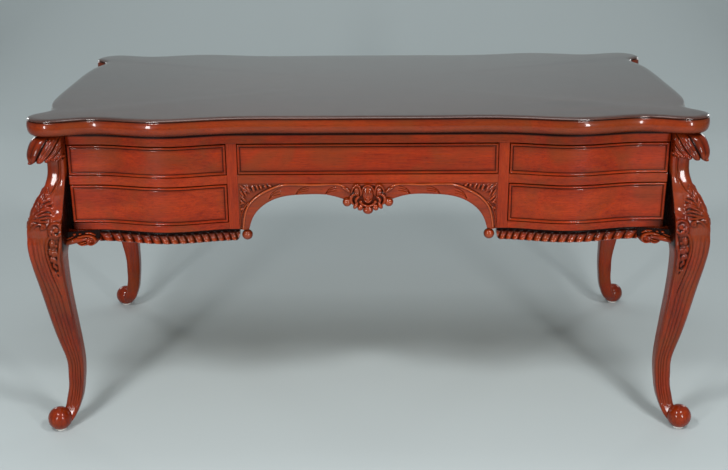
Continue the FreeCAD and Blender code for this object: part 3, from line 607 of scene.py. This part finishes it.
def serpentine_board(bay, row, relief, borders, steps, leg_corner_shade=0.0):
    """A board with the serpentine face, carved by a relief that depends on the distance from its edge.
    The leg corner shade is painted shade, darker towards the leg; painted shadow is also put close under the
    top."""
    x = spaced(*bay, borders, steps[0])[:, None]
    z = spaced(*row, borders, steps[1])[None]
    edge = np.minimum(np.minimum(x - bay[0], bay[1] - x), np.minimum(z - row[0], row[1] - z))
    height, hollow = relief(edge)
    # Painted shade towards the leg's corner, and painted shadow close under the top
    hollow = hollow + leg_corner_shade * clamp((np.abs(x) - LEG_CORNER_SHADE_START) / (OPENING_END - LEG_CORNER_SHADE_START))
    hollow = np.maximum(hollow, clamp((z - UNDER_TOP) / 3))
    return backed(grid(x, face_reach(x) + height, z), hollow, RAIL_BACK)


def eased_edge(edge):
    """A quarter round at the edge, painted a little darker over the rounding."""
    inside = clamp(1 - edge / EASE)
    return -EASE * (1 - np.sqrt(1 - inside ** 2)), 0.35 * inside


EASE_BORDERS = (0, 0.15, 0.4, 0.8, EASE)
for name, node, bay, row, leg_corner_shade in (
    ("frieze_rail", "front_top_rail", WHOLE_FRONT, TOP_RAIL, 0),
    ("kneehole_rail", "centre_rail", KNEEHOLE, MIDDLE_RAIL, 0),
    ("right_middle_rail", "right_divider_rail", RIGHT_BAY, MIDDLE_RAIL, 0),
    ("left_middle_rail", "left_divider_rail", LEFT_BAY, MIDDLE_RAIL, 0),
    ("right_lower_rail", "right_bottom_rail", RIGHT_BAY, BOTTOM_RAIL, 0.9),
    ("left_lower_rail", "left_bottom_rail", LEFT_BAY, BOTTOM_RAIL, 0.9),
):
    board = serpentine_board(bay, row, eased_edge, EASE_BORDERS, RAIL_STEPS, leg_corner_shade)
    make_piece(name, node, [board], veneer, TO_FRONT)

# Partitions and outer panels
# Mahogany boards of the case, planed flat or bent to the swell of the sides, and tenoned into the legs
# and rails. The partitions' front edges show as stiles.
stile_wood = mahogany("polished_mahogany_stile", "Z", "#9c350d", "#862706", "#631803", glazed_and_shaded=False)
side_veneer = mahogany("polished_mahogany_side_grain", "Y", *VENEER_TONES, glazed_and_shaded=False)


def dress(node, material):
    """Gives a carried-over CAD node one material in place of its own."""
    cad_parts[node].data.materials.clear()
    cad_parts[node].data.materials.append(material)


for side in ("left", "right"):
    dress(side + "_partition", stile_wood)
    dress(side + "_side_panel", side_veneer)

# Back panels
# Veneered mahogany boards that close the back, glued and pinned to the legs and partitions,
# with beaded panels planted on them to match the drawers in front.
BEAD_WIDTH, BEAD_PROUD, QUIRK = 5.0, 3.0, 3.0
BEAD_BORDERS = (
    0, 0.2, 0.6, 1.2, 1.9, 2.5, 3.1, 3.8, 4.4, 4.8, BEAD_WIDTH, 5.5, 6.1, 6.7, 7.3, 8.0, 9.6, 12.0)
QUIRK_DEPTH, FIELD_SHADE_WIDTH, DRAWER_GAP, PANEL_LIFT = 0.9, 6.0, 1.5, 1.0


def beaded(edge):
    """A half-round bead along the edge, a sunk quirk, then the flat field. The quirk is painted dark as glaze
    and shade, the outer edge dark and the field beside the quirk a little darker as painted shade, and the
    bead's crest lighter as rubbed wear and painted highlight.
    """
    bead = dome(edge / (BEAD_WIDTH / 2) - 1)
    quirk = clamp(1 - np.abs((edge - BEAD_WIDTH) / QUIRK - 0.5) * 2)
    dark = np.maximum(quirk ** 0.5, 0.8 * clamp(1 - edge / 0.8))
    field_shade = 0.3 * clamp(1 - (edge - BEAD_WIDTH - QUIRK) / FIELD_SHADE_WIDTH) * (edge > BEAD_WIDTH + QUIRK / 2)
    height = np.where(edge <= BEAD_WIDTH, BEAD_PROUD * bead, -QUIRK_DEPTH * quirk)
    return height, np.maximum(dark, field_shade) - bead ** 4


def beaded_board(bay, row):
    """A board with a bead around its edge, less all round than its opening by the gap of a drawer."""
    inset = np.array((DRAWER_GAP, -DRAWER_GAP))
    return serpentine_board(bay + inset, row + inset, beaded, BEAD_BORDERS, FRONT_STEPS)


for node, bay, foot, rows in (
    ("right_back_panel", RIGHT_BAY, BOTTOM_RAIL[0], (UPPER_ROW, LOWER_ROW)),
    ("left_back_panel", LEFT_BAY, BOTTOM_RAIL[0], (UPPER_ROW, LOWER_ROW)),
    ("centre_back_panel", KNEEHOLE, MIDDLE_RAIL[0], (UPPER_ROW,)),
):
    boards = [serpentine_board(bay, (foot, TOP_RAIL[1]), eased_edge, EASE_BORDERS, PANEL_STEPS)]
    for row in rows:
        points, *rest = beaded_board(bay, row)
        boards.append((points + np.array((0, PANEL_LIFT, 0)), *rest))
    make_piece(node + "_veneered", node, boards, veneer)

# Gadrooned mouldings
# Strips of mahogany glued under the case, carved with slanting drop-shaped lobes that grow towards
# the legs, below a cove painted dark as shade.
GADROON_LOW, GADROON_HIGH, GADROON_PROUD = 474.0, 504.0, 8.0
GADROON_SINK, GADROON_END_ROUND = 6.0, 9.0
GADROON_STEPS, GADROON_ROWS, SIDE_GADROON_ROWS = 44, 420, 520
LOBE_NEAR_KNEEHOLE, LOBE_NEAR_LEG, LOBE_SLANT = 14.0, 27.0, 0.75
gadroon_wood = mahogany("carved_mahogany_moulding", "X", *CARVED_TONES, rough=0.26, coat=0.5)


def gadroon(path, run, lobes_grow):
    """A moulding along a path of (x, y, outward x, outward y): a swelling face under a cove painted dark as
    shade.
    Each lobe is a half circle along the run, slanted with height and fullest towards its lower end."""
    lower = np.linspace(0, 1, GADROON_STEPS)[None]
    ends = dome(1 - clamp(run / GADROON_END_ROUND))[:, None]
    level = GADROON_HIGH - (GADROON_HIGH - GADROON_LOW) * lower * (0.5 + 0.5 * ends)
    if lobes_grow:
        share = run / run[-1]
        growth = LOBE_NEAR_LEG / LOBE_NEAR_KNEEHOLE
        count = run[-1] / (LOBE_NEAR_KNEEHOLE * (growth - 1)) * np.log(1 + (growth - 1) * share)
    else:
        count = np.abs(run - run[-1] / 2) / LOBE_NEAR_LEG
    edge = np.abs((count[:, None] + LOBE_SLANT * lower) % 1 - 0.5) * 2
    lobe = dome(edge)
    rise = clamp((lower - 0.14) / 0.24)
    bulge = np.exp(-((lower - 0.82) / 0.16) ** 2)
    under = dome(clamp(lower - 0.8) / 0.2)
    swell = (0.5 * rise * rise * (3 - 2 * rise) + 0.5 * bulge) * under
    out = -GADROON_SINK + (GADROON_PROUD + GADROON_SINK) * swell * (0.2 + 0.8 * lobe) * ends
    front = grid(path[:, :1] + path[:, 2:3] * out, path[:, 1:2] + path[:, 3:] * out, level)
    # Painted shade between the lobes and over the upper part under the rail, and a painted highlight on each
    # lobe's full lower end
    crest = 0.6 * lobe ** 6 * bulge
    dark = np.maximum(edge ** 2, clamp((0.5 - lower) / 0.24)) - crest
    return front, np.clip(dark, -1, 1)


gadroon_x = np.linspace(KNEEHOLE_HALF + 0.4, BRACKET_END, GADROON_ROWS)
ones = np.ones_like(gadroon_x)
front_path = np.column_stack((gadroon_x, face_reach(gadroon_x), 0 * ones, ones))
front_gadroon = backed(*gadroon(front_path, gadroon_x - gadroon_x[0], True), RAIL_BACK)
SIDE_PLANE, SIDE_SWELL, SIDE_END, GADROON_SIDE_END = 704.0, 23.0, 318.0, 267.0
gadroon_y = np.linspace(-GADROON_SIDE_END, GADROON_SIDE_END, SIDE_GADROON_ROWS)
ones = np.ones_like(gadroon_y)
side_path = np.column_stack((
    SIDE_PLANE + SIDE_SWELL * (1 - (np.abs(gadroon_y) / SIDE_END) ** 4), gadroon_y, ones, 0 * ones))
side_gadroon = backed(*gadroon(side_path, gadroon_y - gadroon_y[0], False), OPENING_END, axis=0)
for side, turn_x in (("right", 1), ("left", -1)):
    for row, turn_y in (("rear_", 1), ("front_", -1)):
        make_piece(row + side + "_lobed_moulding", row + side + "_gadroon", [front_gadroon], gadroon_wood,
                   flip=(turn_x, turn_y, 1))
    make_piece(side + "_side_lobed_moulding", side + "_side_gadroon", [side_gadroon], gadroon_wood,
               flip=(turn_x, 1, 1))

# Aprons
# Arched boards glued under the kneehole rail. A smooth band follows the arch under a raised bead,
# feathered leaves fill the sunk corners, sprays are cut into the band, and a ball closes each end.
APRON_TOP, APRON_FOOT, APRON_BACK = 614.0, 495.0, 330.0
APRON_BALL, APRON_BALL_X, APRON_BALL_SINK = 12.6, 285.0, 7.0
ARCH_STEPS, APRON_STEPS, LINE_STEPS = 457, 110, 90
BAND_RISE, GROUND_DEPTH, APRON_GLAZE_SHADE_DEPTH = 2.8, 3.6, 1.8
FILLET_HALF, FILLET_RISE, APRON_BEAD_HALF, APRON_BEAD_RISE = 1.8, 3.0, 2.8, 6.5
# Half width, height and taper of a corner leaf and of a spray's groove
APRON_LEAF, SPRAY_GROOVE = (4.0, 7.5, 0.6), (1.3, 1.9, 0.3)
# Half of the lower edge, from the foot to the middle, as (x, height)
arch_half = np.array((
    (301.9, 503), (292, 502.4), (280, 502), (268.5, 534), (238.5, 565.5), (198.1, 582.5),
    (150.1, 587.5), (95.1, 586.4), (55, 575), (0, 558)))
arch = np.concatenate((arch_half, (arch_half * (-1, 1))[-2::-1]))
arch_line = np.concatenate((arch[:2], smooth_path(arch[2:-2], ARCH_STEPS), arch[-2:]))
rim_at = np.linspace(0, 1, len(arch_line))
RIM_TURN = (0, 0.14, 0.86, 1)
apron_rim = np.column_stack((
    np.interp(rim_at, RIM_TURN, (KNEEHOLE_HALF, KNEEHOLE_HALF, -KNEEHOLE_HALF, -KNEEHOLE_HALF)),
    np.interp(rim_at, RIM_TURN, (APRON_FOOT + 10, APRON_TOP, APRON_TOP, APRON_FOOT + 10))))
depth_share = np.linspace(0, 1, APRON_STEPS)[None, :, None]
apron_place = arch_line[:, None] + (apron_rim - arch_line)[:, None] * depth_share
apron_x, apron_z = np.abs(apron_place[..., 0]), apron_place[..., 1]
from_arch, _ = away_from(apron_x, apron_z, smooth_path(arch_half[2:], LINE_STEPS))
BEAD_PLACES = (
    (293.2, 504), (290.7, 524), (282, 556), (261.6, 580.6), (234.4, 597.5), (215.5, 606), (197, 611),
    (157, 611.8), (100, 611.8), (66, 611), (54, 605), (46, 595))
FILLET_PLACES = ((300.5, 503), (299, 524), (289.7, 554.5), (279, 568))
from_bead, _ = away_from(apron_x, apron_z, smooth_path(BEAD_PLACES, LINE_STEPS))
from_fillet, _ = away_from(apron_x, apron_z, smooth_path(FILLET_PLACES, 30))
bead_x, bead_z = np.array(BEAD_PLACES[:7]).T
on_band = apron_x < np.interp(apron_z, bead_z, bead_x)
apron_carving = np.where(on_band, BAND_RISE - 1.8 * np.exp(-from_arch / 2.0), -GROUND_DEPTH)
# Acanthus leaves in the corners: strands that fan out from the corner over the sunk ground
for leaf in (
    ((301, 613), (289, 603), (275, 590)), ((296, 608), (286, 592), (281, 580)),
    ((299, 588), (290, 577), (282, 568)), ((300, 600), (293, 589), (288, 579)),
    ((300, 577), (294, 570), (287, 563)), ((300, 562), (294, 567), (289, 572)),
    ((271, 613), (267, 603), (264, 591)), ((262, 613), (257, 605), (255, 596)),
    ((279, 613), (279, 600), (272, 589)), ((253, 612), (248, 603), (247, 598)),
    ((241, 613), (237, 606), (236, 602)), ((232, 613), (225, 607), (222, 606)),
    ((289, 611), (281, 604), (272, 597)), ((299, 548), (295, 553), (291, 556)),
):
    leaf_height = strand(apron_x, apron_z, leaf, *APRON_LEAF) - GROUND_DEPTH
    apron_carving = np.where(on_band, apron_carving, np.maximum(apron_carving, leaf_height))
# Leaf sprays cut into the band: fans of fine grooves that open towards the middle
for spray in (
    ((230, 577), (222, 592), (203, 603)), ((168.5, 587), (160, 599), (138, 608)),
    ((99, 587), (91, 600), (72, 608)),
):
    spray = np.array(spray, float)
    for spread in (1.0, 0.72, 0.45):
        groove = spray[0] + (spray - spray[0]) * (1, spread)
        apron_carving = apron_carving - strand(apron_x, apron_z, groove, *SPRAY_GROOVE) * on_band
apron_carving = np.maximum(apron_carving, FILLET_RISE * dome(from_fillet / FILLET_HALF))
apron_carving = np.maximum(apron_carving, APRON_BEAD_RISE * dome(from_bead / APRON_BEAD_HALF))
apron_carving = np.where(apron_z > APRON_TOP - 0.6, np.minimum(apron_carving, 0), apron_carving)
apron_front = grid(apron_place[..., 0], CASE_HALF - 2.0 + apron_carving, apron_z)
# Glaze and painted shade in the hollows, more painted shade over the sunk corners, and the bead painted light
# as a painted highlight
apron_dark = hollows(apron_carving, APRON_GLAZE_SHADE_DEPTH)
apron_dark = np.where(on_band, 0.8 * apron_dark, np.clip(apron_dark + 0.2, -1, 1))
apron_dark = np.where(from_bead < 2.2, -1.0, apron_dark)
apron_shells = [backed(apron_front, apron_dark, APRON_BACK)]


def rim_shaded_ball(middle, radius, rows, columns):
    """A ball painted lighter on the sides that face forward and back, as a painted highlight, and full dark
    around the rim between, as painted shade.
    """
    points = turned(ball_profile(radius, rows), middle, columns)
    forward = np.abs(points[..., 1] - points[..., 1].mean()) / radius
    return shell(points, np.clip(0.95 - 1.5 * forward, -0.4, 1), capped=False)


for side in (1, -1):
    end_middle = (side * APRON_BALL_X, CASE_HALF - APRON_BALL_SINK, APRON_FOOT - APRON_BALL_SINK)
    apron_shells.append(rim_shaded_ball(end_middle, APRON_BALL, 28, 40))
make_piece("front_arched_apron", "front_apron", apron_shells, gadroon_wood, flip=TO_FRONT)

# Shell cartouches
# A carved shell glued over the middle of each apron: a slit bud between arched petals, side scrolls
# that end in balls, and a fan of small lobes with a drop below.
CARTOUCHE_CENTRE = np.array((0.0, CASE_HALF, 579.0))
CARTOUCHE_BACK, SPRIG_STEPS = 0.5, 34


def sprig(points, half_width, half_height, lift, fullest=0.5, blunt=0.5):
    """A carved sprig: an ellipse carried along a smooth line in front of the board. Its width is a
    sine that is fullest at the given share of the line, raised to a power: a low power is blunter."""
    line = smooth_path(points, SPRIG_STEPS)
    share = np.linspace(0.002, 0.998, SPRIG_STEPS) ** (math.log(0.5) / math.log(fullest))
    swell = (np.sin(np.pi * share) ** blunt)[:, None, None]
    aim = np.gradient(line, axis=0)
    aim /= np.linalg.norm(aim, axis=1, keepdims=True)
    beside = grid(aim[:, 1], 0.0, -aim[:, 0])[:, None]
    turn = np.linspace(0, 2 * np.pi, 22, endpoint=False)[None, :, None]
    middle = grid(line[:, 0], float(lift), line[:, 1])[:, None]
    forward = np.array((0, 1.0, 0))
    points = middle + swell * (beside * half_width * np.cos(turn) + forward * half_height * np.sin(turn))
    points[..., 1] = np.maximum(points[..., 1], CARTOUCHE_BACK)
    # Painted shade on the sprig's back and sides, and lighter on its front as a painted highlight
    hollow = np.clip(0.8 - 1.1 * np.sin(turn[..., 0]), -0.4, 1) + 0 * swell[..., 0]
    return shell(points + CARTOUCHE_CENTRE, hollow)


SHIELD_HALF_WIDTH, SHIELD_HALF_HEIGHT, SHIELD_RISE, SHIELD_SHIFT = 42, 29, 5.0, 3
shield_turn = np.linspace(0, 2 * np.pi, 96, endpoint=False)
shield_share = np.array((1.0, 0.97, 0.8, 0.5, 0.2))[:, None]
shield_points = grid(
    shield_share * SHIELD_HALF_WIDTH * np.cos(shield_turn),
    SHIELD_RISE * np.sqrt(1 - shield_share ** 2 * 0.98),
    shield_share * SHIELD_HALF_HEIGHT * np.sin(shield_turn) + SHIELD_SHIFT)
# The shield's ground between the sprigs is painted dark, as glaze and painted shade
cartouche_shells = [shell(shield_points + CARTOUCHE_CENTRE, 0.75)]
for sprig_line in (
    # places (x, height), half width, half height, lift, fullest share, bluntness
    (((0, -11), (0, 34)), 14.5, 8, 4, 0.52), (((0, 8), (0, -7)), 5, 4, 10),
    (((-14, 9), (-12, 24), (0, 33), (12, 24), (14, 9)), 2.2, 4, 9, 0.5, 0.3),
    (((-9, 0), (0, -7), (9, 0)), 2.6, 4, 10),
    (((-20, -5), (-12, -13), (0, -17), (12, -13), (20, -5)), 2.6, 4, 9, 0.5, 0.3),
    (((0, -17), (0, -38)), 12, 8, 5, 0.55),
):
    cartouche_shells.append(sprig(*sprig_line))
for side in (1, -1):
    for places, *sizes in (
        (((6, 22), (1.5, 9)), 2.6, 4, 11, 0.4),
        (((17, 6), (17, 21), (25, 33), (35, 25), (38, 13)), 3, 5, 7, 0.5, 0.3),
        (((23, 2), (27, 30)), 7.5, 6, 4, 0.6), (((40, 14), (50, 22), (60, 26)), 4.4, 5, 4, 0.4),
        (((26, 12), (38, 5), (39, -6), (33, -15)), 4.2, 5, 6, 0.5, 0.4),
        (((19, 6), (27, -1), (27, -11)), 3.6, 5, 7, 0.5, 0.4),
        (((12, -9), (21, -29)), 7.0, 7, 5, 0.65), (((23, -8), (33, -25)), 5.2, 6, 5, 0.6),
    ):
        cartouche_shells.append(sprig([(side * x, z) for x, z in places], *sizes))
    for x, y, z, radius in ((48.5, 4, -8.5, 10.6), (27, 8, 12, 3.8), (17, 9, -7, 4.0)):
        cartouche_shells.append(rim_shaded_ball(CARTOUCHE_CENTRE + (side * x, y, z), radius, 18, 26))
make_piece("front_shell_cartouche", "front_cartouche", cartouche_shells, gadroon_wood, flip=TO_FRONT)
make_piece("rear_arched_apron", "rear_apron", apron_shells + cartouche_shells, gadroon_wood)

# Drawers
# Each drawer has a mahogany front with a half-round cockbead in a quirk painted dark as glaze and shade,
# and a plain box of pale lining wood, dovetailed and grooved for its bottom.
for name, bay, row in (
    ("centre", KNEEHOLE, UPPER_ROW),
    ("right_upper", RIGHT_BAY, UPPER_ROW), ("right_lower", RIGHT_BAY, LOWER_ROW),
    ("left_upper", LEFT_BAY, UPPER_ROW), ("left_lower", LEFT_BAY, LOWER_ROW),
):
    make_piece(name + "_beaded_front", name + "_drawer_front", [beaded_board(bay, row)], veneer,
               TO_FRONT, name + "_drawer")
# Planed lining wood gives the eye pale, matt boards with a straight grain
lining = mahogany(
    "planed_lining_wood", "Y", "#c9a77c", "#b8935f", "#9d7848", rough=0.6, coat=0.0, glazed_and_shaded=False)
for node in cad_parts:
    if node.endswith(("_drawer_sides", "_drawer_back", "_drawer_bottom", "_runners", "_kickers", "_stops")):
        dress(node, lining)

# Desk top
# One veneered board with a solid mahogany edge: a deep round, a quirk above it and a thin sloping
# nose, run along a serpentine outline with a lobe over each leg. The quirk and the cove under the round
# are painted dark as shade. Screwed down from below.
TOP_LOBE_RADIUS, TOP_OVERHANG, OUTLINE_STEPS, TOP_CREASE = 56.0, 36.0, 900, 50
top_edge_y, top_edge_x = CASE_HALF + TOP_OVERHANG, SIDE_PLANE + TOP_OVERHANG
swell_x = KNEEHOLE_HALF + (BRACKET_END - KNEEHOLE_HALF) * np.linspace(0, 1, 5)
lobe_turn = np.radians((105, 75, 45, 15, -12))
notch_y = NECK_Y - TOP_LOBE_RADIUS
quarter = np.concatenate((
    ((KNEEHOLE_HALF / 2, top_edge_y),), np.column_stack((swell_x, face_reach(swell_x) + TOP_OVERHANG)),
    TOP_LOBE_RADIUS * np.column_stack((np.cos(lobe_turn), np.sin(lobe_turn))) + (NECK_X, NECK_Y),
    (top_edge_x, 0) + np.array(((0, 0.98), (0.2, 0.88), (0.7, 0.72), (0.95, 0.5))) * (SIDE_SWELL, notch_y)))
right_half = np.concatenate((quarter, ((top_edge_x + SIDE_SWELL, 0),), quarter[::-1] * (1, -1)))
ring = np.concatenate((((0, top_edge_y),), right_half, ((0, -top_edge_y),), right_half[::-1] * (-1, 1)))
thrice = np.concatenate((ring, ring, ring, ring[:1]))
ring_run = np.concatenate(([0], np.cumsum(np.linalg.norm(np.diff(thrice, axis=0), axis=1))))
ring_at = np.linspace(ring_run[len(ring)], ring_run[2 * len(ring)], OUTLINE_STEPS, endpoint=False)
outline = np.stack([smooth_curve(ring_run, thrice[:, axis], ring_at) for axis in (0, 1)], axis=-1)
heading = np.roll(outline, -1, axis=0) - np.roll(outline, 1, axis=0)
heading /= np.linalg.norm(heading, axis=1, keepdims=True)
inward = heading[:, [1, 0]] * (1, -1)
EDGE_PROFILE = np.array((
    # inset, height, painted shade
    (7.0, 774.8, 1), (4.4, 774.3, 1), (4.4, 773.7, 1), (3.4, 772.9, 0.7), (2.2, 771.2, 0.3),
    (1.1, 768.4, 0.1), (0.35, 764.6, 0), (0.0, 760.0, 0), (0.1, 756.0, 0), (0.6, 752.0, 0), (1.4, 748.6, 0.1),
    (2.6, 745.6, 0.25), (4.4, 743.0, 0.45), (6.4, 741.6, 0.8), (8.4, 741.0, 1), (9.4, 740.7, 1),
    (11.0, 740.4, 1), (14.0, 740.1, 1), (20.0, 740.0, 1), (20.0, 745.0, 1), (12.0, 774.8, 1)))
TOP_NOSE = np.array((
    # inset, height
    (9.0, 741.0), (9.0, 774.6), (3.3, 774.8), (2.6, 775.4), (2.8, 776.4), (4.0, 777.3), (7.0, 778.4),
    (11.0, 779.3), (16.0, 779.85), (22.0, 780.0)))
edge_wood = mahogany("polished_mahogany_edge", "X", "#8a310e", "#762607", "#551704", rough=0.26, coat=0.5)
edge_inset, edge_level, edge_shade = EDGE_PROFILE.T
edge_x, edge_y = (outline[..., None] + inward[..., None] * edge_inset).transpose(1, 0, 2)
edge_points = grid(edge_x, edge_y, edge_level)
edge_points = np.concatenate((edge_points, edge_points[:1]))
edge_shell = shell(edge_points, edge_shade, capped=False)
make_piece("moulded_top_edge", "desk_top", [edge_shell], edge_wood, crease=TOP_CREASE)
nose_inset, nose_level = TOP_NOSE.T[..., None]
field_points = grid(*(outline.T[:, None] + inward.T[:, None] * nose_inset), nose_level)
top_wood = mahogany(
    "polished_mahogany_top", "X", "#563226", "#47271d", "#361a12",
    rough=0.2, coat=1.0, shine=0.3, glazed_and_shaded=False)
make_piece("veneered_top_field", "desk_top", [shell(field_points)], top_wood, crease=TOP_CREASE)

# Glides and screws
# White nylon discs nailed under the ball feet, and zinc-plated steel screws that go up through the
# kickers into the top. Both are carried over from the CAD.
def plain_finish(name, colour, rough, metal, speck_mm):
    """A moulded or plated surface: one colour with fine mottling of tone and roughness."""
    material, tree = new_material(name)
    place = add_node(tree, "TexCoord").outputs["Object"]
    speck = add_node(tree, "TexNoise", {"Vector": place, "Scale": 1 / (speck_mm * MM), "Detail": 2.0})
    tone = add_node(tree, "MapRange", {"Value": speck, "To Min": 0.82, "To Max": 1.0})
    tinted = add_node(tree, "Mix", {
        "Factor": 1.0, 6: linear(colour), 7: tone}, data_type="RGBA", blend_type="MULTIPLY").outputs[2]
    gloss = add_node(tree, "MapRange", {"Value": speck, "To Min": rough - 0.08, "To Max": rough + 0.08})
    surface = add_node(tree, "BsdfPrincipled", {"Base Color": tinted, "Roughness": gloss, "Metallic": metal})
    add_node(tree, "OutputMaterial", {"Surface": surface})
    return material


# Nylon gives the eye a dull white, and zinc a grey metal sheen with a fine grain of tone
dress("foot_glides", plain_finish("moulded_nylon", "#ece9e2", 0.5, 0.0, 2.0))
dress("top_screws", plain_finish("zinc_plated_steel", "#b9b9b4", 0.35, 1.0, 1.2))

# Stage, light and camera
# A plain pale floor and wall, soft lamps, and the camera at the photograph's own place.
# The paper is seen from its front only, so a view from behind looks through it.
FLOOR_FRONT, FLOOR_HALF, WALL_PLACE, WALL_TOP, SWEEP_RADIUS = -9.0, 9.0, 3.8, 7.0, 1.2
sweep_turn = np.linspace(0, np.pi / 2, 16)
sweep_y = WALL_PLACE - SWEEP_RADIUS * (1 - np.sin(sweep_turn))
sweep_z = SWEEP_RADIUS * (1 - np.cos(sweep_turn))
floor_points = grid(
    np.array(((-FLOOR_HALF,), (FLOOR_HALF,))), np.concatenate(((FLOOR_FRONT,), sweep_y, (WALL_PLACE,))),
    np.concatenate(((0.0,), sweep_z, (WALL_TOP,))))
columns = floor_points.shape[1]
column = np.arange(columns - 1)
strips = np.stack([column, column + columns, column + columns + 1, column + 1], -1)
floor_mesh = bpy.data.meshes.new("floor")
floor_mesh.from_pydata(floor_points.reshape(-1, 3), [], strips.tolist())
floor_mesh.polygons.foreach_set("use_smooth", np.ones(len(floor_mesh.polygons), bool))
floor = bpy.data.objects.new("floor", floor_mesh)
scene.collection.objects.link(floor)
# Backdrop paper gives the eye one pale, matt ground that runs up into the wall without a line
paper, tree = new_material("pale_backdrop_paper")
matt = add_node(tree, "BsdfPrincipled", {
    "Base Color": linear("#bcc6c7"), "Roughness": 0.9, "Specular IOR Level": 0.1})
behind = add_node(tree, "NewGeometry").outputs["Backfacing"]
one_way = add_node(tree, "MixShader", {0: behind, 1: matt, 2: add_node(tree, "BsdfTransparent")})
add_node(tree, "OutputMaterial", {"Surface": one_way})
floor_mesh.materials.append(paper)

ROOM_LIGHT = 0.3
world = bpy.data.worlds.new("soft_room_light")
scene.world = world
world.use_nodes = True
background = world.node_tree.nodes["Background"]
background.inputs["Color"].default_value = linear("#e4e8ea")
background.inputs["Strength"].default_value = ROOM_LIGHT
LAMPS = (
    # name, place, target, width, height, power
    ("left_spot", (-1.05, -1.7, 2.45), (-0.2, -0.3, 0.5), 0.42, 0.42, 26),
    ("right_spot", (1.05, -1.7, 2.45), (0.2, -0.3, 0.5), 0.42, 0.42, 26),
    ("left_softbox", (-1.5, -2.9, 1.0), (-0.1, -0.3, 0.55), 0.24, 1.0, 29),
    ("right_softbox", (1.5, -2.9, 1.0), (0.1, -0.3, 0.55), 0.24, 1.0, 29),
    ("overhead_softbox", (0.0, 0.5, 3.4), (0, 0.2, 0.6), 2.0, 1.0, 18),
    ("backdrop_softbox", (0.0, 1.4, 3.4), (0, 3.4, 1.0), 3.0, 0.6, 11),
    ("rear_left_softbox", (-2.6, 2.5, 1.3), (-0.3, 0.3, 0.5), 0.5, 1.0, 9),
    ("rear_right_softbox", (2.6, 2.5, 1.3), (0.3, 0.3, 0.5), 0.5, 1.0, 9),
)
for name, place, target, width, height, power in LAMPS:
    lamp = bpy.data.lights.new(name, "AREA")
    lamp.shape = "RECTANGLE"
    lamp.size, lamp.size_y, lamp.energy = width, height, power
    holder = bpy.data.objects.new(name, lamp)
    holder.location = place
    holder.visible_camera = False
    holder.rotation_euler = (Vector(target) - Vector(place)).to_track_quat("-Z", "Y").to_euler()
    scene.collection.objects.link(holder)

# The camera fitted to the photograph: its place, and its turns in radians
CAMERA_PLACE, IMAGE_WIDTH, FOCAL_PIXELS = (0.0061322, -2.8315366, 1.36323), 728, 1115.8148
PITCH, YAW, ROLL = 0.3396, -0.0064, -0.0068
lens = bpy.data.cameras.new("camera")
lens.sensor_width = 36.0
lens.lens = FOCAL_PIXELS * lens.sensor_width / IMAGE_WIDTH
camera = bpy.data.objects.new("camera", lens)
camera.matrix_world = (
    Matrix.Translation(CAMERA_PLACE) @ Matrix.Rotation(-YAW, 4, "Z")
    @ Matrix.Rotation(math.pi / 2 - PITCH, 4, "X") @ Matrix.Rotation(ROLL, 4, "Z"))
scene.collection.objects.link(camera)
scene.camera = camera
scene.view_settings.view_transform = "Standard"
